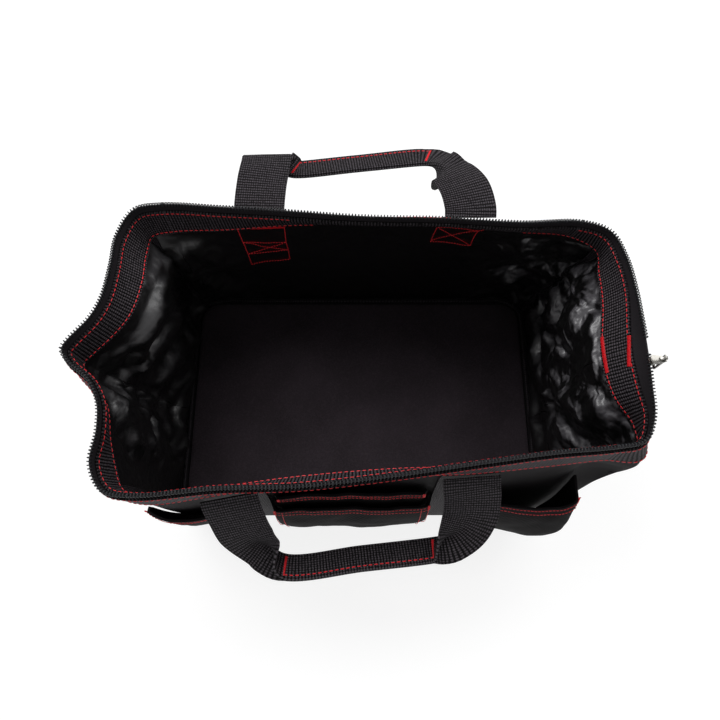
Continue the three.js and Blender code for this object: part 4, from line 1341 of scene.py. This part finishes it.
class Pocket:
    """An outside pocket's cloth, which stands off the wall most at its middle."""

    def __init__(self, side, ends, top, foot, bulge, mouth, lean):
        start, end, _ = STRETCHES[side]
        self.side = side
        self.span = sorted(WALL.at_x(start - 1, end + 1, x) for x in ends)
        self.top, self.foot, self.bulge, self.mouth, self.lean = top, foot, bulge, mouth, lean
        self.us = np.linspace(*self.span, 40)
        self.heights = np.linspace(foot - 2, top + 4, 60)
        self.drops = np.array([WALL.drop_at(u, self.heights) for u in self.us])

    def at(self, across, z, extra=0.0):
        """Points at shares of the width and heights z, extra further out than the cloth."""
        across, z = np.broadcast_arrays(np.asarray(across, float), np.asarray(z, float))
        u = self.span[0] + (self.span[1] - self.span[0]) * across
        i = np.clip(across * (len(self.us) - 1), 0, len(self.us) - 1.001)
        j = np.interp(z, self.heights, np.arange(len(self.heights)))
        j = np.clip(j, 0, len(self.heights) - 1.001)
        i0, j0 = np.floor(i).astype(int), np.floor(j).astype(int)
        di, dj = i - i0, j - j0
        drop = (
            (self.drops[i0, j0] * (1 - dj) + self.drops[i0, j0 + 1] * dj) * (1 - di)
            + (self.drops[i0 + 1, j0] * (1 - dj) + self.drops[i0 + 1, j0 + 1] * dj) * di
        )
        height = np.clip((z - self.foot) / (self.top - self.foot), 0, 1)
        side = np.clip(np.sin(math.pi * across), 0, 1) ** POCKET_ROUNDNESS
        side = side * (1 + self.lean * (across - 0.5))
        belly = 4 * self.bulge * height * (1 - height) + self.mouth * height * (2 * height - 1)
        seat = CLOTH + LAY_GAP + HEM_EXTRA
        points, normals = WALL.at(u, drop, seat + side * belly + extra, True)
        lumps = noise_at(points * (1, 1, 0.4), POCKET_LUMP, 21)
        lumps = lumps + 0.5 * noise_at(points, POCKET_LUMP / 2, 22)
        push = POCKET_LUMP_DEPTH * side * smoothstep(height, 0, 0.3) * lumps
        return points + normals * push[..., None], normals


class BAG_OT_pockets(BagPiece):
    """Makes the outside pockets and their hems"""

    bl_idname = "tool_bag.pockets"
    bl_label = "Pockets"

    def make(self, sizes):
        for name, settings in POCKETS.items():
            pocket = Pocket(*settings)
            cloth_top = pocket.top - HEM_WIDTH - SEAM_GAP
            width = settings[1][1] - settings[1][0]
            height = cloth_top - pocket.foot

            def lay(s, t):
                return pocket.at(s, pocket.foot + height * t, POCKET_CLOTH)[0]

            def hem_lay(s, t):
                z = pocket.top - HEM_WIDTH * (1 - t)
                return pocket.at(s, z, POCKET_CLOTH + HEM_EXTRA)[0]

            cloth = grid_piece(
                f"{name}_cloth", columns_in(width, POCKET_CELL), columns_in(height, POCKET_CELL),
                lay, (width * GATHER, height),
            )
            thicken(cloth, POCKET_CLOTH)
            dress(cloth, "pocket", follow_of(pocket.side), [name])
            hem = grid_piece(f"{name}_hem_cloth", columns_in(width, POCKET_CELL), 4, hem_lay,
                             (width * GATHER, HEM_WIDTH))
            thicken(hem, POCKET_CLOTH + 2 * HEM_EXTRA)
            dress(hem, "oxford", follow_of(pocket.side), [f"{name}_hem"])


# Where a strap is sewn through the rear wall: corners of each stitched shape as x and drop.
REAR_BOXES = {
    "left": {
        "frame": [(-97.5, 34), (-98, 61), (-98.5, 86), (-99.5, 112), (-65, 119), (-64, 98),
                  (-64, 80), (-61, 44)],
        "rows": [[(-98, 61), (-64, 80)], [(-98.5, 86), (-64, 98)], [(-98, 61), (-64, 98)],
                 [(-98.5, 86), (-64, 80)]],
        "bars": [[(-97.5, 31), (-61, 42)], [(-99, 110), (-101, 124)]],
    },
    "right": {
        "frame": [(64, 62), (62, 92), (97.5, 93), (97.5, 56), (76, 58)],
        "rows": [[(66, 64), (97.5, 93)], [(62, 90), (97.5, 56)], [(97.5, 55), (102.5, 46)]],
        "bars": [[(101, 47), (103.5, 46)]],
    },
}
# Where the rear wall's lean hides each of the inner band's rows, in x.
HIDDEN_ROWS = ((-52, 168), (-36, 128))
BAND_INSET = 2
# How far thread stands off what it is sewn on: in rows, and in the bars through the rear wall
THREAD_LIFT = 0.3
BAR_LIFT = 1.4
# The ends of the thick bartacks where the bands overlap, as upright line and drop
RIGHT_END_TACKS = ([(17.76, 38), (16.6, 38)], [(17.5, 16), (16.6, 20)])
# Down beside a pocket's ends: shares of its width, and how long the rows are
SIDE_ROWS = {"front_pocket_centre": (0.02, 0.065, 0.935, 0.98)}
SIDE_ROW_LENGTH = 70


def rear_spots(corners):
    """Places on the rear wall, as upright line and drop, from x and drop."""
    start, end, _ = STRETCHES["rear"]
    return [(WALL.at_x(start, end, x, drop), drop) for x, drop in corners]


def inner_rows(stretch, start, end):
    """The two rows on the inner band, without what the rear wall's lean hides."""
    runs = []
    for below, hidden in zip((BAND_INSET, BAND_WIDTH - BAND_INSET), HIDDEN_ROWS):
        parts = [(start, end)]
        if stretch == "rear":
            ends = [WALL.at_x(start, end, x, below) for x in hidden]
            parts = [(start, min(ends)), (max(ends), end)]
        for first, last in parts:
            if last - first < 0.05:
                continue
            us = np.linspace(first, last, max(6, int((last - first) * SPOTS_PER_LINE)))
            spots = np.stack([us, band_top(us) + below], 1)
            runs.append(wall_line(spots, -SEAM_GAP - WEBBING, inside=True))
    return runs


def pocket_rows(pocket, side_rows):
    """Rows along a pocket's hem, and down beside its ends where it has them."""
    runs = []
    out = POCKET_CLOTH + 2 * HEM_EXTRA
    for below in (1.6, HEM_WIDTH - 1.2):
        across = np.linspace(0.015, 0.985, 60)
        runs.append(pocket.at(across, pocket.top - below, out))
    for share in side_rows:
        z = np.linspace(pocket.top - 1, pocket.top - SIDE_ROW_LENGTH, 40)
        runs.append(pocket.at(share, z, out))
    return runs


class BAG_OT_stitching(BagPiece):
    """Sews the red rows and bartacks on the bands, walls, handles and pockets"""

    bl_idname = "tool_bag.stitching"
    bl_label = "Red stitching"

    def make(self, sizes):
        outer = CLOTH + SEAM_GAP + WEBBING
        for stretch, (start, end, side) in STRETCHES.items():
            us = np.linspace(start, end, int((end - start) * SPOTS_PER_LINE))
            runs = inner_rows(stretch, start, end)
            for below in (BAND_INSET, BAND_WIDTH - BAND_INSET):
                runs.append(wall_line(np.stack([us, band_top(us) + below], 1), outer))
            sew(f"{stretch}_band_stitches", runs, follow_of(stretch))
        for hand, shapes in REAR_BOXES.items():
            closed = shapes["frame"] + shapes["frame"][:1]
            runs = [
                wall_line(rear_spots(corners), -THREAD_LIFT, inside=True, creased=True)
                for corners in [closed, *shapes["rows"]]
            ]
            sew(f"rear_{hand}_box_stitches", runs, WITH_REAR, pitch=2.4)
            bars = [
                wall_line(rear_spots(bar), -BAR_LIFT, inside=True) for bar in shapes["bars"]
            ]
            sew(f"rear_{hand}_bartacks", bars, WITH_REAR, pitch=0.7, satin=2.6)
        self.right_end()
        for name, settings in POCKETS.items():
            pocket = Pocket(*settings)
            follow = follow_of(pocket.side)
            rows = pocket_rows(pocket, SIDE_ROWS.get(name, ()))
            sew(f"{name}_stitches", rows, follow, pitch=2.8, weight=0.7)
            heights = np.linspace(pocket.top + 2, pocket.top - 6, 8)
            tacks = [pocket.at(share, heights, POCKET_CLOTH + 2 * HEM_EXTRA)
                     for share in (0.02, 0.98)]
            sew(f"{name}_bartacks", tacks, follow, pitch=0.8, satin=2.0)
        for side, stations in (("front", FRONT_HANDLE), ("rear", REAR_HANDLE)):
            handle = Handle(side, stations)
            shares = handle_grip(handle)
            rows, tacks = [], []
            for sign in (-1, 1):
                points, normals = handle.at(shares, sign * (STRAP_WIDTH / 2 - 3))
                rows.append((points - normals * (WEBBING / 2), -normals))
                for share in (shares[0], shares[-1]):
                    widths = sign * np.linspace(3, STRAP_WIDTH / 2 - 2, 10)
                    points, normals = handle.at(share, widths)
                    tacks.append((points - normals * (WEBBING / 2), -normals))
            follow = along_with(f"{side}_handle")
            sew(f"{side}_handle_stitches", rows, follow)
            sew(f"{side}_handle_bartacks", tacks, follow, pitch=0.8, satin=2.4)

    def right_end(self):
        """The thick bartacks where the bands' ends overlap below the slider."""
        inner = -SEAM_GAP - WEBBING - THREAD_LIFT
        runs = [wall_line(ends, inner, inside=True) for ends in RIGHT_END_TACKS]
        sew("right_end_bartacks", runs, TO_FRONT, pitch=0.8, satin=3.2)


# A handle counts as folded double from this share of its fold on.
GRIP_FOLD = 0.97


def handle_grip(handle):
    """Shares of the handle's length along which it is folded double."""
    stations = np.linspace(0, 1, len(handle.folds))
    shares = np.linspace(0, 1, 800)
    t = np.interp(shares * handle.length, handle.run, handle.ts)
    return shares[np.interp(t, stations, handle.folds) > GRIP_FOLD]


# The slider is finer than the solid that stands for it, and parks a little nearer the front.
PULL_PIVOT = np.array([206.417, -17.955, 231.133])
SLIDER_SHARE = 0.62
SLIDER_FORWARD = 12
METAL_ROUND = 0.25


class BAG_OT_metal(BagPiece):
    """Makes the slider and its pull, finer than their solids and nickel plated"""

    bl_idname = "tool_bag.metal"
    bl_label = "Slider and pull"

    def make(self, sizes):
        for node, body in (("zip_slider", "slider"), ("pull_tab", "pull")):
            only(bpy.data.objects[node])
            bpy.ops.object.duplicate()
            piece = bpy.context.view_layer.objects.active
            piece.name = piece.data.name = f"{node}_metal"
            bpy.ops.object.mode_set(mode="EDIT")
            bpy.ops.mesh.select_all(action="SELECT")
            bpy.ops.mesh.remove_doubles(threshold=0.02 * MM)
            bpy.ops.mesh.dissolve_limited(angle_limit=math.radians(1))
            bpy.ops.object.mode_set(mode="OBJECT")
            points = PULL_PIVOT + (vertices(piece) - PULL_PIVOT) * SLIDER_SHARE
            place_vertices(piece, points + np.array([0, -SLIDER_FORWARD, 0]))
            modify(piece, "BEVEL", width=METAL_ROUND * MM, segments=2, limit_method="ANGLE")
            dress(piece, "nickel", along_with(body), [node], angle=40)


LENS, SENSOR = 30, 36
CAMERA_PLACE = (0, -0.157, 0.616)
CAMERA_TILT = 18.1
# Each lamp's name, place, size and power; all of them point at the middle of the bag.
LAMPS = (
    ("key_lamp", (-0.5, 0.5, 1.3), 0.8, 10),
    ("fill_lamp", (0.7, 0.6, 1.2), 1.0, 7),
    ("front_lamp", (-0.2, -1.3, 0.9), 0.9, 1.5),
)
LAMP_AIM = Vector((0, 0, 0.12))
PAPER = (0.82, 0.82, 0.82, 1)


class BAG_OT_stage(BagPiece):
    """Makes the camera, the lamps, the white world and the floor that the bag stands on"""

    bl_idname = "tool_bag.stage"
    bl_label = "Stage"

    def make(self, sizes):
        scene = bpy.context.scene
        scene.view_settings.view_transform = "Standard"
        camera = bpy.data.cameras.new("photo_camera")
        camera.lens, camera.sensor_width = LENS, SENSOR
        holder = bpy.data.objects.new("photo_camera", camera)
        holder.location = CAMERA_PLACE
        holder.rotation_euler = (math.radians(CAMERA_TILT), 0, 0)
        scene.collection.objects.link(holder)
        scene.camera = holder
        for settings in LAMPS:
            lamp(*settings)
        world = bpy.data.worlds.new("white_world")
        scene.world = world
        world.use_nodes = True
        tree = world.node_tree
        tree.nodes.clear()
        path = add(tree, "LightPath")
        strength = add(tree, "Math", SCALED, {0: path.outputs["Is Camera Ray"], 1: 0.6, 2: 0.4})
        light = add(
            tree, "Background", None,
            {"Color": (1, 1, 1, 1), "Strength": strength.outputs[0]},
        )
        add(tree, "OutputWorld", None, {"Surface": light.outputs[0]})
        bpy.ops.object.select_all(action="DESELECT")
        bpy.ops.mesh.primitive_plane_add(size=8)
        floor = bpy.context.view_layer.objects.active
        floor.name = "studio_floor"
        floor.data.materials.append(studio_floor("white_sweep", PAPER))


def lamp(name, place, size, power):
    data = bpy.data.lights.new(name, "AREA")
    data.shape = "DISK"
    data.size, data.energy = size, power
    holder = bpy.data.objects.new(name, data)
    holder.location = place
    holder.rotation_euler = (LAMP_AIM - Vector(place)).to_track_quat("-Z", "Y").to_euler()
    bpy.context.scene.collection.objects.link(holder)


def colour(name, hex_colour):
    """A colour that a user may change: the lightest tone of one material."""
    return FloatVectorProperty(
        name=name, description=f"The lightest tone of the {name.lower()}", subtype="COLOR",
        size=4, min=0, max=1, default=linear(hex_colour),
    )


def length(name, description, default, low, high):
    """A length that a user may change, given here in millimetres."""
    return FloatProperty(
        name=name, description=description, default=default * MM, min=low * MM,
        max=high * MM, unit="LENGTH",
    )


class ToolBagSizes(bpy.types.PropertyGroup):
    band_width: length("Band width", "Width of the webbing round the mouth", BAND_WIDTH, 15, 40)
    tooth_pitch: length("Tooth pitch", "Distance from one zip tooth to the next", 2.35, 1, 4)
    stitch_pitch: length("Stitch pitch", "Distance from one stitch to the next", 4.1, 2, 10)
    thread: length("Thread", "Thickness of the sewing thread", 0.75, 0.3, 2)
    cloth: colour("Cloth", "#1c181b")
    pocket_cloth: colour("Pocket cloth", "#131012")
    zip_tape: colour("Zip tape", "#383438")
    binding: colour("Binding", "#3a353a")
    band_webbing: colour("Band webbing", "#5a5459")
    strap_webbing: colour("Strap webbing", "#504b50")
    # The colour of the painted highlights on the lining's upward fold flanks.
    lining_glint: colour("Lining's folds", "#48464a")
    thread_colour: colour("Sewing thread", "#ff2430")
    coil: colour("Zip coil", "#3e4043")
    nickel: colour("Nickel", "#a8a6a0")
    board: colour("Base board", "#3c343a")


class BAG_PT_pieces(bpy.types.Panel):
    bl_idname = "BAG_PT_pieces"
    bl_label = "Tool bag"
    bl_space_type = "VIEW_3D"
    bl_region_type = "UI"
    bl_category = "Tool bag"

    def draw(self, context):
        layout = self.layout
        for name in ToolBagSizes.__annotations__:
            layout.prop(context.scene.tool_bag, name)
        for operator in STEPS:
            layout.operator(operator.bl_idname)


STEPS = (
    BAG_OT_stage,
    BAG_OT_floor,
    BAG_OT_walls,
    BAG_OT_seam_tapes,
    BAG_OT_bands,
    BAG_OT_zip,
    BAG_OT_metal,
    BAG_OT_straps,
    BAG_OT_pockets,
    BAG_OT_handles,
    BAG_OT_stitching,
)
CLASSES = (ToolBagSizes, *STEPS, BAG_PT_pieces)


def register():
    for cls in CLASSES:
        bpy.utils.register_class(cls)
    bpy.types.Scene.tool_bag = PointerProperty(type=ToolBagSizes)


def unregister():
    del bpy.types.Scene.tool_bag
    for cls in reversed(CLASSES):
        bpy.utils.unregister_class(cls)


def main():
    register()
    make_finishes(bpy.context.scene.tool_bag)
    for step in STEPS:
        group, name = step.bl_idname.split(".")
        getattr(getattr(bpy.ops, group), name)()


if __name__ == "__main__":
    main()
